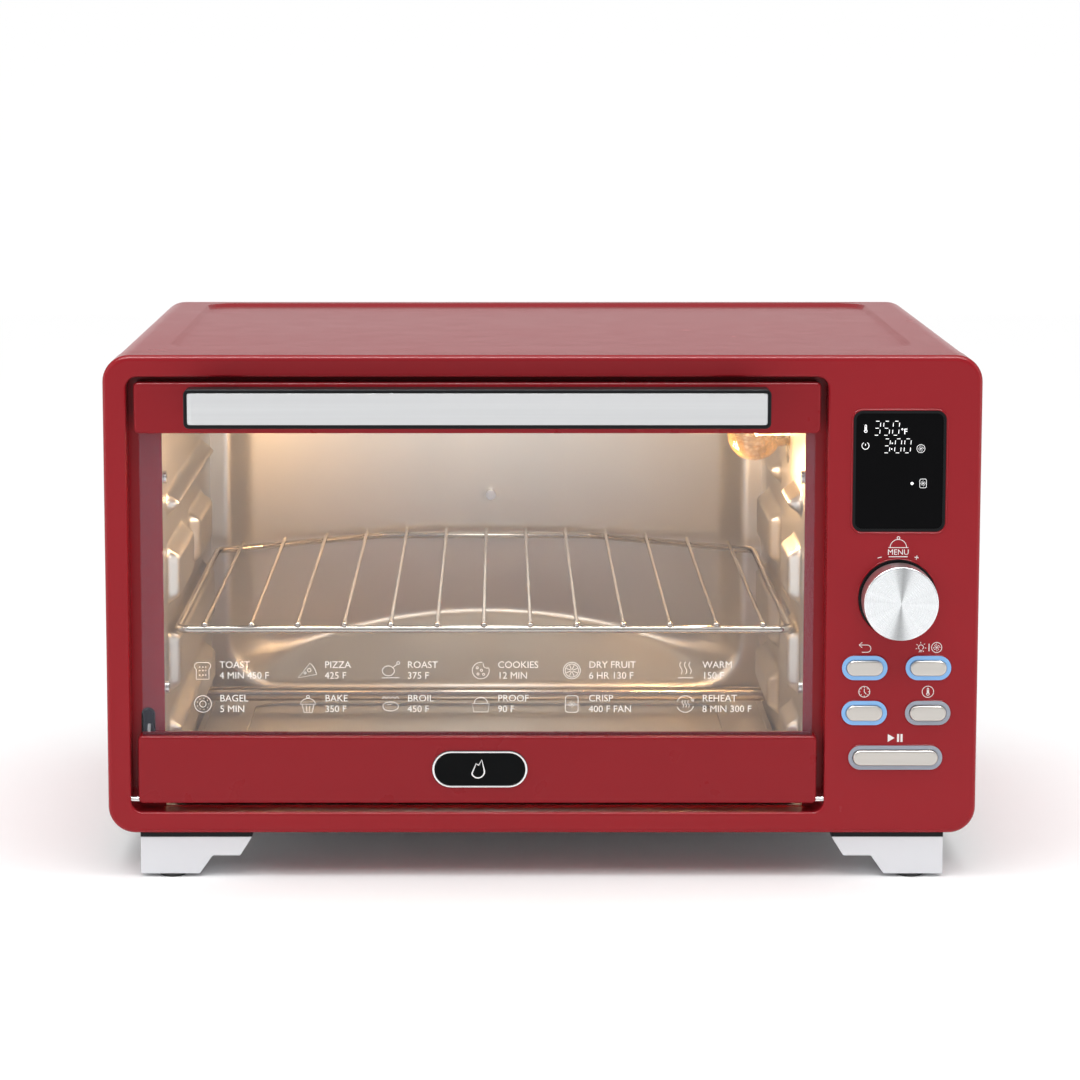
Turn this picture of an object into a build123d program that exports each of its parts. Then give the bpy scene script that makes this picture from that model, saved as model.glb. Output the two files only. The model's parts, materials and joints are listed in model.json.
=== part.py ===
"""A countertop convection toaster oven: pressed-steel cavity, painted casing, drop-down glass door.

Row frame, millimetres: +X to the right, +Y to the back, +Z up. The origin is on the table, under
the middle of the oven. The door is shut, the rack is on its middle ledge and the crumb tray is home.
"""

import os
from math import cos, radians, sin, sqrt

from build123d import *

os.makedirs("parts", exist_ok=True)

# ---- driving dimensions -------------------------------------------------------------------
WIDTH = 455.0  # over the front panel
BODY_HEIGHT = 252.3  # casing without its feet
FOOT_HEIGHT = 24.0
CASE_DEPTH = 310.0  # face of the front panel to the back of the casing
HANDLE_OUT = 33.0  # how far the handle stands in front of the panel
BULGE_OUT = 48.0  # how far the rear cover's bulge stands behind the casing
SHEET = 0.8  # sheet steel
SKIN = 2.0  # moulded or folded front parts
RUNNING = 0.08  # radial clearance of pins and shafts that turn

DEPTH = HANDLE_OUT + CASE_DEPTH + BULGE_OUT
FACE_Y = -DEPTH / 2 + HANDLE_OUT  # plane of the front panel's face
BACK_Y = FACE_Y + CASE_DEPTH
BASE_Z = FOOT_HEIGHT
TOP_Z = BASE_Z + BODY_HEIGHT
CORNER = 14.0  # the casing's four long edges
FRAME_DEPTH = 30.0  # depth of the front panel's rim
EDGE_ROUND = 3.0

# Recess for the door in the front panel, and the mouth of the cavity behind it.
RECESS_X = (-215.4, 147.8)
RECESS_Z = (35.3, 265.2)
RECESS_DEPTH = 14.0
FLANGE = 2.0
CAVITY_X = (-198.5, 137.5)
CAVITY_Z = (34.6, 252.0)
CAVITY_MID_X = sum(CAVITY_X) / 2
SILL_Z = 35.5  # lower edge of the mouth, which hides the floor sheet's front
CAVITY_Y = (FACE_Y + RECESS_DEPTH + FLANGE, FACE_Y + 299.0)

# Door.
DOOR_GAP = 3.9
DOOR_X = (RECESS_X[0] + DOOR_GAP, RECESS_X[1] - DOOR_GAP)
DOOR_Z = (40.0, 262.2)
DOOR_Y = (FACE_Y + 0.5, FACE_Y + 12.5)
TOP_RAIL = 26.6
BOTTOM_RAIL = 36.0
GLASS_Y = (FACE_Y + 3.4, FACE_Y + 7.4)
PIN_Y = FACE_Y + 3.0  # the hinge axis
PIN_Z = 41.8
PIN_R = 1.5
HANDLE_X = (-182.5, 115.5)
HANDLE_Z = (242.3, 262.5)
HANDLE_BAR = 12.0

# Shelf ledges, pressed into the side walls: height of the inner edge, bottom, and stretches of depth.
LEDGE_OUT = 7.0
LEDGE_DRAFT = 3.0
LEDGE_TOPS = (198.0, 169.0, 125.2, 77.0)
LEDGE_HEIGHTS = (9.0, 28.0, 32.0, 22.0)
LEDGE_FULL = (33.0, 247.0)
LEDGE_FRONT = (LEDGE_FULL[0], 119.5)
LEDGE_REAR = (156.0, 236.0)
LEDGE_SHORT = (LEDGE_FULL[0], 82.0)
LEDGE_BEHIND_FAN = (156.0, LEDGE_FULL[1])
LINER_SCREW_Z = (210.0, 97.9)  # screws that hold each side wall to the front panel
LINER_SCREW_DEPTH = 21.0

# Rack.
ROD_R = 2.0
WIRE_R = 1.1
RACK_Z = 128.1
RACK_HALF = 162.0
RACK_Y = (FACE_Y + 25.0, 115.0, 172.0)  # front bar, back corners, middle of the back bar
RACK_MID = 65.0  # half of the back bar's middle stretch
WIRES = 13
WIRE_PITCH = 24.6

# Heaters.
HEATER_R = 4.2
HEATER_YS = (FACE_Y + 57.5, FACE_Y + 250.0)
HEATER_ZS = (45.6, 243.0)
INSULATOR = 5.0

# Controls, on the panel to the right of the door.
CONTROL_X = 184.8
COLUMN = 16.6
DISPLAY_Z = 216.0
DISPLAY_SIZE = (48.2, 63.4)
KNOB_Z = 149.3
KNOB_R = 19.3
KNOB_OUT = 17.0
BUTTON_SMALL = (19.1, 8.2)
BUTTON_WIDE = (44.5, 8.2)
RING_WALL = 2.3
PRESS = 1.0  # travel of a button
BUTTONS = {
    "back": (CONTROL_X - COLUMN, 112.5, BUTTON_SMALL),
    "light": (CONTROL_X + COLUMN, 112.5, BUTTON_SMALL),
    "time": (CONTROL_X - COLUMN, 88.6, BUTTON_SMALL),
    "temperature": (CONTROL_X + COLUMN, 88.6, BUTTON_SMALL),
    "start": (CONTROL_X, 64.8, BUTTON_WIDE),
}
LIT_RINGS = ("back", "light", "time")
BOARD_Y = FACE_Y + 22.0

# Fan and lamp, in the compartment behind the controls.
FAN_Y = FACE_Y + 119.5
FAN_Z = 118.0
LAMP_Y = FAN_Y
LAMP_Z = 220.0
LAMP_R = 15.0

# Door arm and its spring, left of the cavity.
ARM_X = (-208.0, -206.4)
ARM_RADII = (34.0, 40.0)
ARM_ANGLES = (22.0, 106.0)  # from +Z towards +Y, about the hinge axis
SPRING_TAB_Y = PIN_Y + 90.0
SPRING_TAB_Z = PIN_Z + 8.0
SPRING_R = 2.3
SLOT_Z = 73.5
SLOT_LENGTH = 30.0
SLOT_WIDTH = 7.4


# ---- helpers ------------------------------------------------------------------------------
def facing(y):
    """The plane at that y as seen from the front: local x is X, local y is Z, extrude comes forward."""
    return Plane.XZ.offset(-y)


def middle(span):
    return sum(span) / 2


def size(span):
    return span[1] - span[0]


def grown(span, by):
    return (span[0] - by, span[1] + by)


def block(x, y, z, mode=Mode.ADD):
    """A box between two corners, in the part being built."""
    with Locations((middle(x), middle(y), middle(z))):
        return Box(size(x), size(y), size(z), mode=mode)


def rod(start, end, radius, mode=Mode.ADD):
    """A round bar from one point to another, in the part being built."""
    start, end = Vector(*start), Vector(*end)
    with Locations(Plane(origin=start, z_dir=end - start)):
        return Cylinder(
            radius, (end - start).length, align=(Align.CENTER, Align.CENTER, Align.MIN), mode=mode
        )


def rounded_plate(x, y, z, radius, mode=Mode.ADD):
    """A plate square to Y with rounded corners."""
    with BuildSketch(facing(y[1])) as outline:
        with Locations((middle(x), middle(z))):
            RectangleRounded(size(x), size(z), radius)
    return extrude(outline.sketch, amount=size(y), mode=mode)


def stadium(x, z, width, height, y, mode=Mode.ADD):
    """A plate square to Y with half-round ends."""
    with BuildSketch(facing(y[1])) as outline:
        with Locations((x, z)):
            SlotOverall(width, height)
    return extrude(outline.sketch, amount=size(y), mode=mode)


def save(part, name):
    part.part.label = name
    export_step(part.part, f"parts/{name}.step")


# ---- casing -------------------------------------------------------------------------------
with BuildPart() as front_panel:
    rounded_plate((-WIDTH / 2, WIDTH / 2), (FACE_Y, FACE_Y + FRAME_DEPTH), (BASE_Z, TOP_Z), CORNER)
    fillet(front_panel.faces().sort_by(Axis.Y)[0].edges(), EDGE_ROUND)
    rounded_plate(
        grown((-WIDTH / 2, WIDTH / 2), -SKIN),
        (FACE_Y + SKIN, FACE_Y + FRAME_DEPTH),
        grown((BASE_Z, TOP_Z), -SKIN),
        CORNER - SKIN,
        Mode.SUBTRACT,
    )
    rounded_plate(
        grown(RECESS_X, SKIN),
        (FACE_Y + SKIN / 2, FACE_Y + RECESS_DEPTH + FLANGE),
        grown(RECESS_Z, SKIN),
        8,
    )
    rounded_plate(RECESS_X, (FACE_Y - 1, FACE_Y + RECESS_DEPTH), RECESS_Z, 6, Mode.SUBTRACT)
    fillet(front_panel.faces().filter_by(Axis.Y).sort_by(Axis.Y)[0].inner_wires()[0].edges(), 1.2)
    flange_y = (FACE_Y + RECESS_DEPTH - 1, FACE_Y + RECESS_DEPTH + FLANGE + 1)
    block(CAVITY_X, flange_y, (SILL_Z, CAVITY_Z[1]), Mode.SUBTRACT)
    # Window of the display, with its bezel's land.
    rounded_plate(
        (CONTROL_X - DISPLAY_SIZE[0] / 2, CONTROL_X + DISPLAY_SIZE[0] / 2),
        (FACE_Y - 1, FACE_Y + SKIN + 1),
        (DISPLAY_Z - DISPLAY_SIZE[1] / 2, DISPLAY_Z + DISPLAY_SIZE[1] / 2),
        5,
        Mode.SUBTRACT,
    )
    rod((CONTROL_X, FACE_Y - 1, KNOB_Z), (CONTROL_X, FACE_Y + SKIN + 1, KNOB_Z), KNOB_R + 1.1, Mode.SUBTRACT)
    for x, z, (width, height) in BUTTONS.values():
        stadium(
            x,
            z,
            width + 2 * RING_WALL,
            height + 2 * RING_WALL,
            (FACE_Y - 1, FACE_Y + SKIN + 1),
            Mode.SUBTRACT,
        )
    # Holes for the hinge pins, and the slot for the door arm.
    for side in RECESS_X:
        rod((side - 8, PIN_Y, PIN_Z), (side + 8, PIN_Y, PIN_Z), PIN_R + 0.3, Mode.SUBTRACT)
    with BuildSketch(facing(FACE_Y + RECESS_DEPTH + FLANGE + 1)):
        with Locations((middle(ARM_X), SLOT_Z)):
            SlotOverall(SLOT_LENGTH, SLOT_WIDTH, rotation=90)
    extrude(amount=FLANGE + 2, mode=Mode.SUBTRACT)

SHELL_STEP = 0.3
SHELL_X = grown((-WIDTH / 2, WIDTH / 2), -SHELL_STEP)
SHELL_Z = (BASE_Z + 2.0, TOP_Z - SHELL_STEP)
SHELL_Y = (FACE_Y + FRAME_DEPTH, BACK_Y)
PANEL_X = (-198.0, 198.0)  # sunk panel in the top
PANEL_Y = (FACE_Y + 47.0, FACE_Y + 301.0)
SINK = 1.6
with BuildPart() as outer_shell:
    with BuildSketch(facing(SHELL_Y[1])):
        with BuildLine():
            crown = CORNER - SHELL_STEP
            side_z = SHELL_Z[1] - crown
            Polyline((SHELL_X[0], side_z), (SHELL_X[0], SHELL_Z[0]), (SHELL_X[0] + SHEET, SHELL_Z[0]))
            Line((SHELL_X[0] + SHEET, SHELL_Z[0]), (SHELL_X[0] + SHEET, side_z))
            RadiusArc((SHELL_X[0] + SHEET, side_z), (SHELL_X[0] + crown, SHELL_Z[1] - SHEET), crown - SHEET)
            Line((SHELL_X[0] + crown, SHELL_Z[1] - SHEET), (SHELL_X[1] - crown, SHELL_Z[1] - SHEET))
            RadiusArc((SHELL_X[1] - crown, SHELL_Z[1] - SHEET), (SHELL_X[1] - SHEET, side_z), crown - SHEET)
            Polyline(
                (SHELL_X[1] - SHEET, side_z),
                (SHELL_X[1] - SHEET, SHELL_Z[0]),
                (SHELL_X[1], SHELL_Z[0]),
                (SHELL_X[1], side_z),
            )
            RadiusArc((SHELL_X[1], side_z), (SHELL_X[1] - crown, SHELL_Z[1]), -crown)
            Line((SHELL_X[1] - crown, SHELL_Z[1]), (SHELL_X[0] + crown, SHELL_Z[1]))
            RadiusArc((SHELL_X[0] + crown, SHELL_Z[1]), (SHELL_X[0], side_z), -crown)
        make_face()
    extrude(amount=size(SHELL_Y))
    # The top's panel is pressed down with sloping sides: its dish goes on under the sheet, then is hollowed.
    for z, mode in ((SHELL_Z[1] - SHEET, Mode.ADD), (SHELL_Z[1], Mode.SUBTRACT)):
        with BuildSketch(Plane.XY.offset(z)):
            with Locations((middle(PANEL_X), middle(PANEL_Y))):
                RectangleRounded(size(PANEL_X), size(PANEL_Y), 16)
        with BuildSketch(Plane.XY.offset(z - SINK)):
            with Locations((middle(PANEL_X), middle(PANEL_Y))):
                RectangleRounded(size(PANEL_X) - 6, size(PANEL_Y) - 6, 13)
        loft(mode=mode)


BULGE_DEEP = 53.5


def bulge(grow, y):
    """The cavity's rearward bulge: arched in plan, sloped below and above, made larger all round by grow."""
    half, sides, deepest = 156.5 + grow, 148.5 + grow, BULGE_DEEP
    shoulder = 12.0
    mouth_z = (41.0 - grow, 240.0 + grow)
    slope = 0.65
    far = y + deepest
    with BuildPart() as made:
        with BuildSketch(Plane.XY.offset(mouth_z[0])):
            with BuildLine():
                Polyline(
                    (CAVITY_MID_X - sides, y + shoulder),
                    (CAVITY_MID_X - half, y),
                    (CAVITY_MID_X + half, y),
                    (CAVITY_MID_X + sides, y + shoulder),
                )
                ThreePointArc(
                    (CAVITY_MID_X + sides, y + shoulder),
                    (CAVITY_MID_X, far),
                    (CAVITY_MID_X - sides, y + shoulder),
                )
            make_face()
        extrude(amount=size(mouth_z))
        with BuildSketch(Plane.YZ.offset(CAVITY_MID_X)):
            with BuildLine():
                Polyline(
                    (y, mouth_z[0]),
                    (far + 1, mouth_z[0] + slope * (deepest + 1)),
                    (far + 1, mouth_z[1] - slope * (deepest + 1)),
                    (y, mouth_z[1]),
                    close=True,
                )
            make_face()
        extrude(amount=half + 1, both=True, mode=Mode.INTERSECT)
    return made.part


COVER_X = grown(SHELL_X, -SHEET - 0.4)
COVER_Z = (BASE_Z + 3.2, SHELL_Z[1] - SHEET - 3.4)
COVER_Y = (BACK_Y - 3.0 - SHEET, BACK_Y - 3.0)
AIR_GAP = 8.0
COVER_BULGE_Y = DEPTH / 2 - BULGE_DEEP
cover_bulge = bulge(AIR_GAP + SHEET, COVER_BULGE_Y)
cover_hollow = bulge(AIR_GAP, COVER_BULGE_Y - SHEET)
GLAND = (196.0, 52.0)
GLAND_BORE = 3.8
with BuildPart() as rear_cover:
    rounded_plate(COVER_X, COVER_Y, COVER_Z, 8)
    add(cover_bulge)
    add(cover_hollow, mode=Mode.SUBTRACT)
    block(COVER_X, (COVER_Y[0] - 20, COVER_Y[0]), COVER_Z, Mode.SUBTRACT)
    # Louvre slots behind the control compartment, and the cable's hole.
    with BuildSketch(facing(COVER_Y[1] + 1)):
        with Locations((190.0, 160.0)):
            with GridLocations(0, 9.0, 1, 14):
                SlotOverall(44.0, 3.2)
        with Locations(GLAND):
            Circle(6.5)
    extrude(amount=SHEET + 2, mode=Mode.SUBTRACT)

PLATE_Z = (BASE_Z + 2.0, BASE_Z + 2.0 + SHEET)
PLATE_Y = (FACE_Y + FRAME_DEPTH + 0.3, COVER_Y[0] - 0.3)
FOOT_THICK = 30.0
FOOT_FRONTS = (FACE_Y + 2.5, BACK_Y - 2.5 - FOOT_THICK)
FOOT_AT = [(x, y + FOOT_THICK / 2) for x in (-200.8, 200.8) for y in FOOT_FRONTS]
PAD_R = 7.2
PAD_YS = (FOOT_FRONTS[0] + PAD_R, FOOT_FRONTS[1] + FOOT_THICK - PAD_R)
PAD_AT = [(x, y) for x in (-194.5, 194.5) for y in PAD_YS]
with BuildPart() as bottom_plate:
    block(COVER_X, PLATE_Y, PLATE_Z)
    with BuildSketch(Plane.XY.offset(PLATE_Z[1] + 1)):
        with Locations((CAVITY_MID_X, 20.0)):
            with GridLocations(14.0, 60.0, 16, 2):
                SlotOverall(40.0, 4.0, rotation=90)
        with Locations((190.0, 10.0)):
            with GridLocations(0, 9.0, 1, 12):
                SlotOverall(40.0, 3.2)
    extrude(amount=-SHEET - 2, mode=Mode.SUBTRACT)
    # Tab that anchors the door spring.
    block(ARM_X, (SPRING_TAB_Y, SPRING_TAB_Y + 10), (PLATE_Z[0], SPRING_TAB_Z + 4))
    rod(
        (ARM_X[0] - 1, SPRING_TAB_Y + 4, SPRING_TAB_Z),
        (ARM_X[1] + 1, SPRING_TAB_Y + 4, SPRING_TAB_Z),
        1.6,
        Mode.SUBTRACT,
    )

# ---- feet ---------------------------------------------------------------------------------
FOOT_TOP = BASE_Z - 2.3
FOOT_SOLE = 1.8
FOOT_START = 210.9
FOOT_LENGTH = 58.7
FOOT_STEP = 11.5
FOOT_WALL = 2.0
FOOT_OUTLINE = [
    (0, FOOT_TOP),
    (0, FOOT_SOLE),
    (31.0, FOOT_SOLE),
    (37.8, FOOT_STEP),
    (52.3, FOOT_STEP),
    (FOOT_LENGTH, FOOT_TOP),
]


def foot_block(side, y, inset, mode):
    """A foot's stepped block, on the left (-1) or the right (+1), shrunk by inset all round."""
    with BuildSketch(facing(y[1])) as profile:
        with BuildLine():
            Polyline(*[(side * (u - FOOT_START), z) for u, z in FOOT_OUTLINE], close=True)
        make_face()
        if inset:
            offset(amount=-inset, mode=Mode.REPLACE)
    extrude(profile.sketch, amount=size(y), mode=mode)


with BuildPart() as feet:
    for side in (-1, 1):
        for front in FOOT_FRONTS:
            y = (front, front + FOOT_THICK)
            foot_block(-side, y, 0, Mode.ADD)
            foot_block(-side, grown(y, -FOOT_WALL), FOOT_WALL, Mode.SUBTRACT)
            x = tuple(sorted((side * (FOOT_START - 3.0), side * (FOOT_START - 50.0))))
            block(x, grown(y, -FOOT_WALL), (FOOT_TOP - 3.0, FOOT_TOP + 1), Mode.SUBTRACT)

with BuildPart() as foot_spacers:
    for side in (-1, 1):
        x = tuple(sorted((side * FOOT_START, side * (FOOT_START - FOOT_LENGTH))))
        for front, top in zip(FOOT_FRONTS, (BASE_Z, PLATE_Z[0])):
            block(x, (front, front + FOOT_THICK), (FOOT_TOP, top))

with BuildPart() as foot_pads:
    for x, y in PAD_AT:
        with Locations((x, y, 0)):
            Cylinder(PAD_R, FOOT_SOLE, align=(Align.CENTER, Align.CENTER, Align.MIN))
    chamfer(foot_pads.edges().filter_by(GeomType.CIRCLE).group_by(Axis.Z)[0], 0.5)

# ---- cavity -------------------------------------------------------------------------------
LINER_Y = (CAVITY_Y[0] + 0.2, CAVITY_Y[1])


def ledge(wall_x, inward, run, top, height, sheet):
    """A ledge pressed in from a side wall.

    inward is +1 or -1; sheet is 0, or the metal left by its hollow.
    """
    y = (FACE_Y + run[0] + sheet, FACE_Y + run[1] - sheet)
    z = (top - height + sheet, top - sheet)
    sections = []
    for x, wider in ((wall_x - inward * sheet, LEDGE_DRAFT), (wall_x + inward * (LEDGE_OUT - sheet), 0)):
        with BuildSketch(Plane.YZ.offset(x)) as section:
            with Locations((middle(y), middle(z))):
                RectangleRounded(size(y) + 2 * wider, size(z) + 2 * wider, 2.5 + wider)
        sections.append(section.sketch)
    loft(sections, mode=Mode.SUBTRACT if sheet else Mode.ADD)


def side_wall(wall_x, inward, stretches):
    """A side of the cavity with its ledges, as one pressing. stretches lists each ledge's depths."""
    block(tuple(sorted((wall_x, wall_x - inward * SHEET))), LINER_Y, CAVITY_Z)
    for hollow in (0.0, SHEET):
        for top, height, runs in zip(LEDGE_TOPS, LEDGE_HEIGHTS, stretches):
            for run in runs:
                ledge(wall_x, inward, run, top, height, hollow)
    for y in HEATER_YS:
        for z in HEATER_ZS:
            rod((wall_x - 3, y, z), (wall_x + 3, y, z), HEATER_R + 0.3, Mode.SUBTRACT)


with BuildPart() as left_liner:
    side_wall(CAVITY_X[0], 1, ((LEDGE_FULL,), (LEDGE_FRONT, LEDGE_REAR), (LEDGE_FULL,), (LEDGE_FULL,)))

FAN_HOLES = (6, 10)
with BuildPart() as right_liner:
    side_wall(CAVITY_X[1], -1, ((LEDGE_SHORT, LEDGE_BEHIND_FAN),) * len(LEDGE_TOPS))
    with BuildSketch(Plane.YZ.offset(CAVITY_X[1] - 1)):
        with Locations((FAN_Y, FAN_Z)):
            with GridLocations(8.0, 8.0, *FAN_HOLES):
                Circle(2.0)
        with Locations((LAMP_Y, LAMP_Z)):
            Circle(LAMP_R + 1.0)
    extrude(amount=SHEET + 2, mode=Mode.SUBTRACT)

with BuildPart() as top_liner:
    block(grown(CAVITY_X, SHEET), LINER_Y, (CAVITY_Z[1], CAVITY_Z[1] + SHEET))

with BuildPart() as floor_liner:
    block(
        grown(CAVITY_X, SHEET),
        (FACE_Y + RECESS_DEPTH + FLANGE + 0.2, LINER_Y[1]),
        (CAVITY_Z[0] - SHEET, CAVITY_Z[0]),
    )

PROBE = (CAVITY_MID_X + 3.0, 152.0)
BACK_Z = (CAVITY_Z[0] - SHEET, CAVITY_Z[1] + SHEET)
liner_bulge = bulge(SHEET, CAVITY_Y[1] + SHEET)
liner_hollow = bulge(0.0, CAVITY_Y[1])
with BuildPart() as back_liner:
    block(grown(CAVITY_X, SHEET), (CAVITY_Y[1], CAVITY_Y[1] + SHEET), BACK_Z)
    add(liner_bulge)
    add(liner_hollow, mode=Mode.SUBTRACT)
    rod((PROBE[0], 100, PROBE[1]), (PROBE[0], 220, PROBE[1]), 3.2, Mode.SUBTRACT)

BULGE_BACK = CAVITY_Y[1] + BULGE_DEEP
with BuildPart() as temperature_probe:
    rod((PROBE[0], BULGE_BACK - 9, PROBE[1]), (PROBE[0], BULGE_BACK + 4, PROBE[1]), 3.0)
    rod((PROBE[0], BULGE_BACK - 10, PROBE[1]), (PROBE[0], BULGE_BACK - 9, PROBE[1]), 2.0)

# ---- heaters ------------------------------------------------------------------------------
HEATER_X = grown(CAVITY_X, SHEET + INSULATOR)


def heater_pair(z):
    for y in HEATER_YS:
        rod((HEATER_X[0], y, z), (HEATER_X[1], y, z), HEATER_R)


with BuildPart() as lower_heaters:
    heater_pair(HEATER_ZS[0])

with BuildPart() as upper_heaters:
    heater_pair(HEATER_ZS[1])

with BuildPart() as heater_insulators:
    for inner in (CAVITY_X[0] - SHEET - INSULATOR, CAVITY_X[1] + SHEET):
        for y in HEATER_YS:
            for z in HEATER_ZS:
                rod((inner, y, z), (inner + INSULATOR, y, z), 7.0)
                rod((inner - 1, y, z), (inner + INSULATOR + 1, y, z), HEATER_R + 0.1, Mode.SUBTRACT)

# ---- lamp ---------------------------------------------------------------------------------
LAMP_TIP_X = 104.0
LAMP_WALL = 0.7
SOCKET_X = (CAVITY_X[1] + SHEET + 1.2, 166.0)


def lamp_glass(inset, mode):
    """The bulb's shape, shrunk by inset, turned about the lamp's axis."""
    tip, radius, neck = LAMP_TIP_X + inset, LAMP_R - inset, 7.0 - inset
    neck_x = LAMP_TIP_X + LAMP_R + sqrt(radius**2 - neck**2)
    end_x = SOCKET_X[0] + 10
    with BuildSketch(facing(LAMP_Y)) as outline:
        with BuildLine():
            crown = LAMP_TIP_X + LAMP_R
            ThreePointArc((tip, LAMP_Z), (crown, LAMP_Z + radius), (neck_x, LAMP_Z + neck))
            Polyline((neck_x, LAMP_Z + neck), (end_x, LAMP_Z + neck), (end_x, LAMP_Z), (tip, LAMP_Z))
        make_face()
    revolve(outline.sketch, axis=Axis((0, LAMP_Y, LAMP_Z), (1, 0, 0)), mode=mode)


with BuildPart() as lamp_bulb:
    lamp_glass(0.0, Mode.ADD)
    lamp_glass(LAMP_WALL, Mode.SUBTRACT)

with BuildPart() as lamp_filament:
    for side in (-1, 1):
        wire_start = (SOCKET_X[0] + 9, LAMP_Y + 2.5 * side, LAMP_Z)
        rod(wire_start, (LAMP_TIP_X + 16, LAMP_Y + 5.0 * side, LAMP_Z), 0.35)
    rod((LAMP_TIP_X + 16, LAMP_Y - 5.0, LAMP_Z), (LAMP_TIP_X + 16, LAMP_Y + 5.0, LAMP_Z), 0.8)

with BuildPart() as lamp_socket:
    rod((SOCKET_X[0], LAMP_Y, LAMP_Z), (SOCKET_X[1], LAMP_Y, LAMP_Z), 13.0)
    rod((SOCKET_X[0] - 1, LAMP_Y, LAMP_Z), (SOCKET_X[0] + 14, LAMP_Y, LAMP_Z), 7.3, Mode.SUBTRACT)

with BuildPart() as lamp_bezel:
    rod((CAVITY_X[1] + SHEET, LAMP_Y, LAMP_Z), (SOCKET_X[0], LAMP_Y, LAMP_Z), 19.0)
    rod((CAVITY_X[1] - 1, LAMP_Y, LAMP_Z), (SOCKET_X[0] + 1, LAMP_Y, LAMP_Z), 13.5, Mode.SUBTRACT)

# ---- convection fan -----------------------------------------------------------------------
SHAFT_R = 2.5
HOUSING_X = (CAVITY_X[1] + SHEET, CAVITY_X[1] + 25.0)
MOTOR_X = (HOUSING_X[1], HOUSING_X[1] + 24.0)
WHEEL_X = (CAVITY_X[1] + 5.0, CAVITY_X[1] + 19.0)
WHEEL_R = 36.0
BLADES = 14


def fan_rod(x, radius, mode=Mode.ADD):
    return rod((x[0], FAN_Y, FAN_Z), (x[1], FAN_Y, FAN_Z), radius, mode)


def fan_blades(x, radii, count):
    """Radial blades between two radii."""
    with Locations(Plane(origin=(middle(x), FAN_Y, FAN_Z), z_dir=(1, 0, 0))):
        with PolarLocations(middle(radii), count):
            Box(size(radii), 1.0, size(x))


with BuildPart() as fan_housing:
    fan_rod(HOUSING_X, 43.0)
    fan_rod((HOUSING_X[0] - 1, HOUSING_X[1] - SHEET), 43.0 - SHEET, Mode.SUBTRACT)
    fan_rod((HOUSING_X[1] - 2, HOUSING_X[1] + 1), 5.0, Mode.SUBTRACT)

with BuildPart() as fan_motor:
    fan_rod(MOTOR_X, 20.0)
    fillet(fan_motor.edges().filter_by(GeomType.CIRCLE).sort_by(Axis.X)[-1], 3)
    fan_rod(grown(MOTOR_X, 1), SHAFT_R + RUNNING, Mode.SUBTRACT)

with BuildPart() as fan_wheel:
    fan_rod((WHEEL_X[0], WHEEL_X[1] + 2), 6.0)
    fan_rod((WHEEL_X[1] - 1, WHEEL_X[1]), WHEEL_R)
    fan_blades(WHEEL_X, (14.0, WHEEL_R - 0.5), BLADES)
    fan_rod((WHEEL_X[0] - 1, WHEEL_X[1] + 3), SHAFT_R, Mode.SUBTRACT)

COOLER_X = (MOTOR_X[1] + 3.0, MOTOR_X[1] + 13.0)
with BuildPart() as fan_shaft:
    fan_rod((WHEEL_X[0], COOLER_X[1]), SHAFT_R)
    fan_rod(COOLER_X, 5.0)
    fan_blades(COOLER_X, (4.0, 26.0), 9)

# ---- controls -----------------------------------------------------------------------------
DISPLAY_X = (CONTROL_X - DISPLAY_SIZE[0] / 2, CONTROL_X + DISPLAY_SIZE[0] / 2)
DISPLAY_SPAN_Z = (DISPLAY_Z - DISPLAY_SIZE[1] / 2, DISPLAY_Z + DISPLAY_SIZE[1] / 2)
BEZEL_WALL = 1.5
with BuildPart() as display_bezel:
    rounded_plate(DISPLAY_X, (FACE_Y + 0.2, FACE_Y + 6.0), DISPLAY_SPAN_Z, 5)
    rounded_plate(grown(DISPLAY_X, 2), (FACE_Y + SKIN, FACE_Y + 4.0), grown(DISPLAY_SPAN_Z, 2), 7)
    window_x = grown(DISPLAY_X, -BEZEL_WALL)
    window_z = grown(DISPLAY_SPAN_Z, -BEZEL_WALL)
    rounded_plate(window_x, (FACE_Y - 1, FACE_Y + 7.0), window_z, 3.5, Mode.SUBTRACT)

with BuildPart() as display_window:
    rounded_plate(window_x, (FACE_Y + 0.6, FACE_Y + 2.6), window_z, 3.5)

with BuildPart() as display_module:
    block(grown(DISPLAY_X, -3), (FACE_Y + 2.6, BOARD_Y), grown(DISPLAY_SPAN_Z, -3))

with BuildPart() as control_board:
    block((CONTROL_X - 33, CONTROL_X + 36), (BOARD_Y, BOARD_Y + 1.6), (54.0, 254.0))
    for z in (70.0, 236.0):
        block((CONTROL_X - 18, CONTROL_X + 12), (BOARD_Y + 1.6, BOARD_Y + 8.0), (z - 6, z + 6))



def turned(front, back, radius, mode=Mode.ADD):
    """A cylinder on the knob's axis, between two depths."""
    rod((CONTROL_X, front, KNOB_Z), (CONTROL_X, back, KNOB_Z), radius, mode)


ENCODER_SHAFT_R = 3.0
with BuildPart() as encoder:
    block((CONTROL_X - 6.5, CONTROL_X + 6.5), (BOARD_Y - 7.0, BOARD_Y), (KNOB_Z - 6.5, KNOB_Z + 6.5))
    turned(BOARD_Y - 12.0, BOARD_Y - 7.0, 4.5)
    turned(BOARD_Y - 13.0, BOARD_Y - 2.0, ENCODER_SHAFT_R + RUNNING, Mode.SUBTRACT)

with BuildPart() as power_board:
    block((150.0, 152.0), (40.0, 110.0), (40.0, 150.0))
    block((152.0, 178.0), (50.0, 80.0), (96.0, 130.0))
    block((152.0, 168.0), (84.0, 104.0), (52.0, 84.0))

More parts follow.
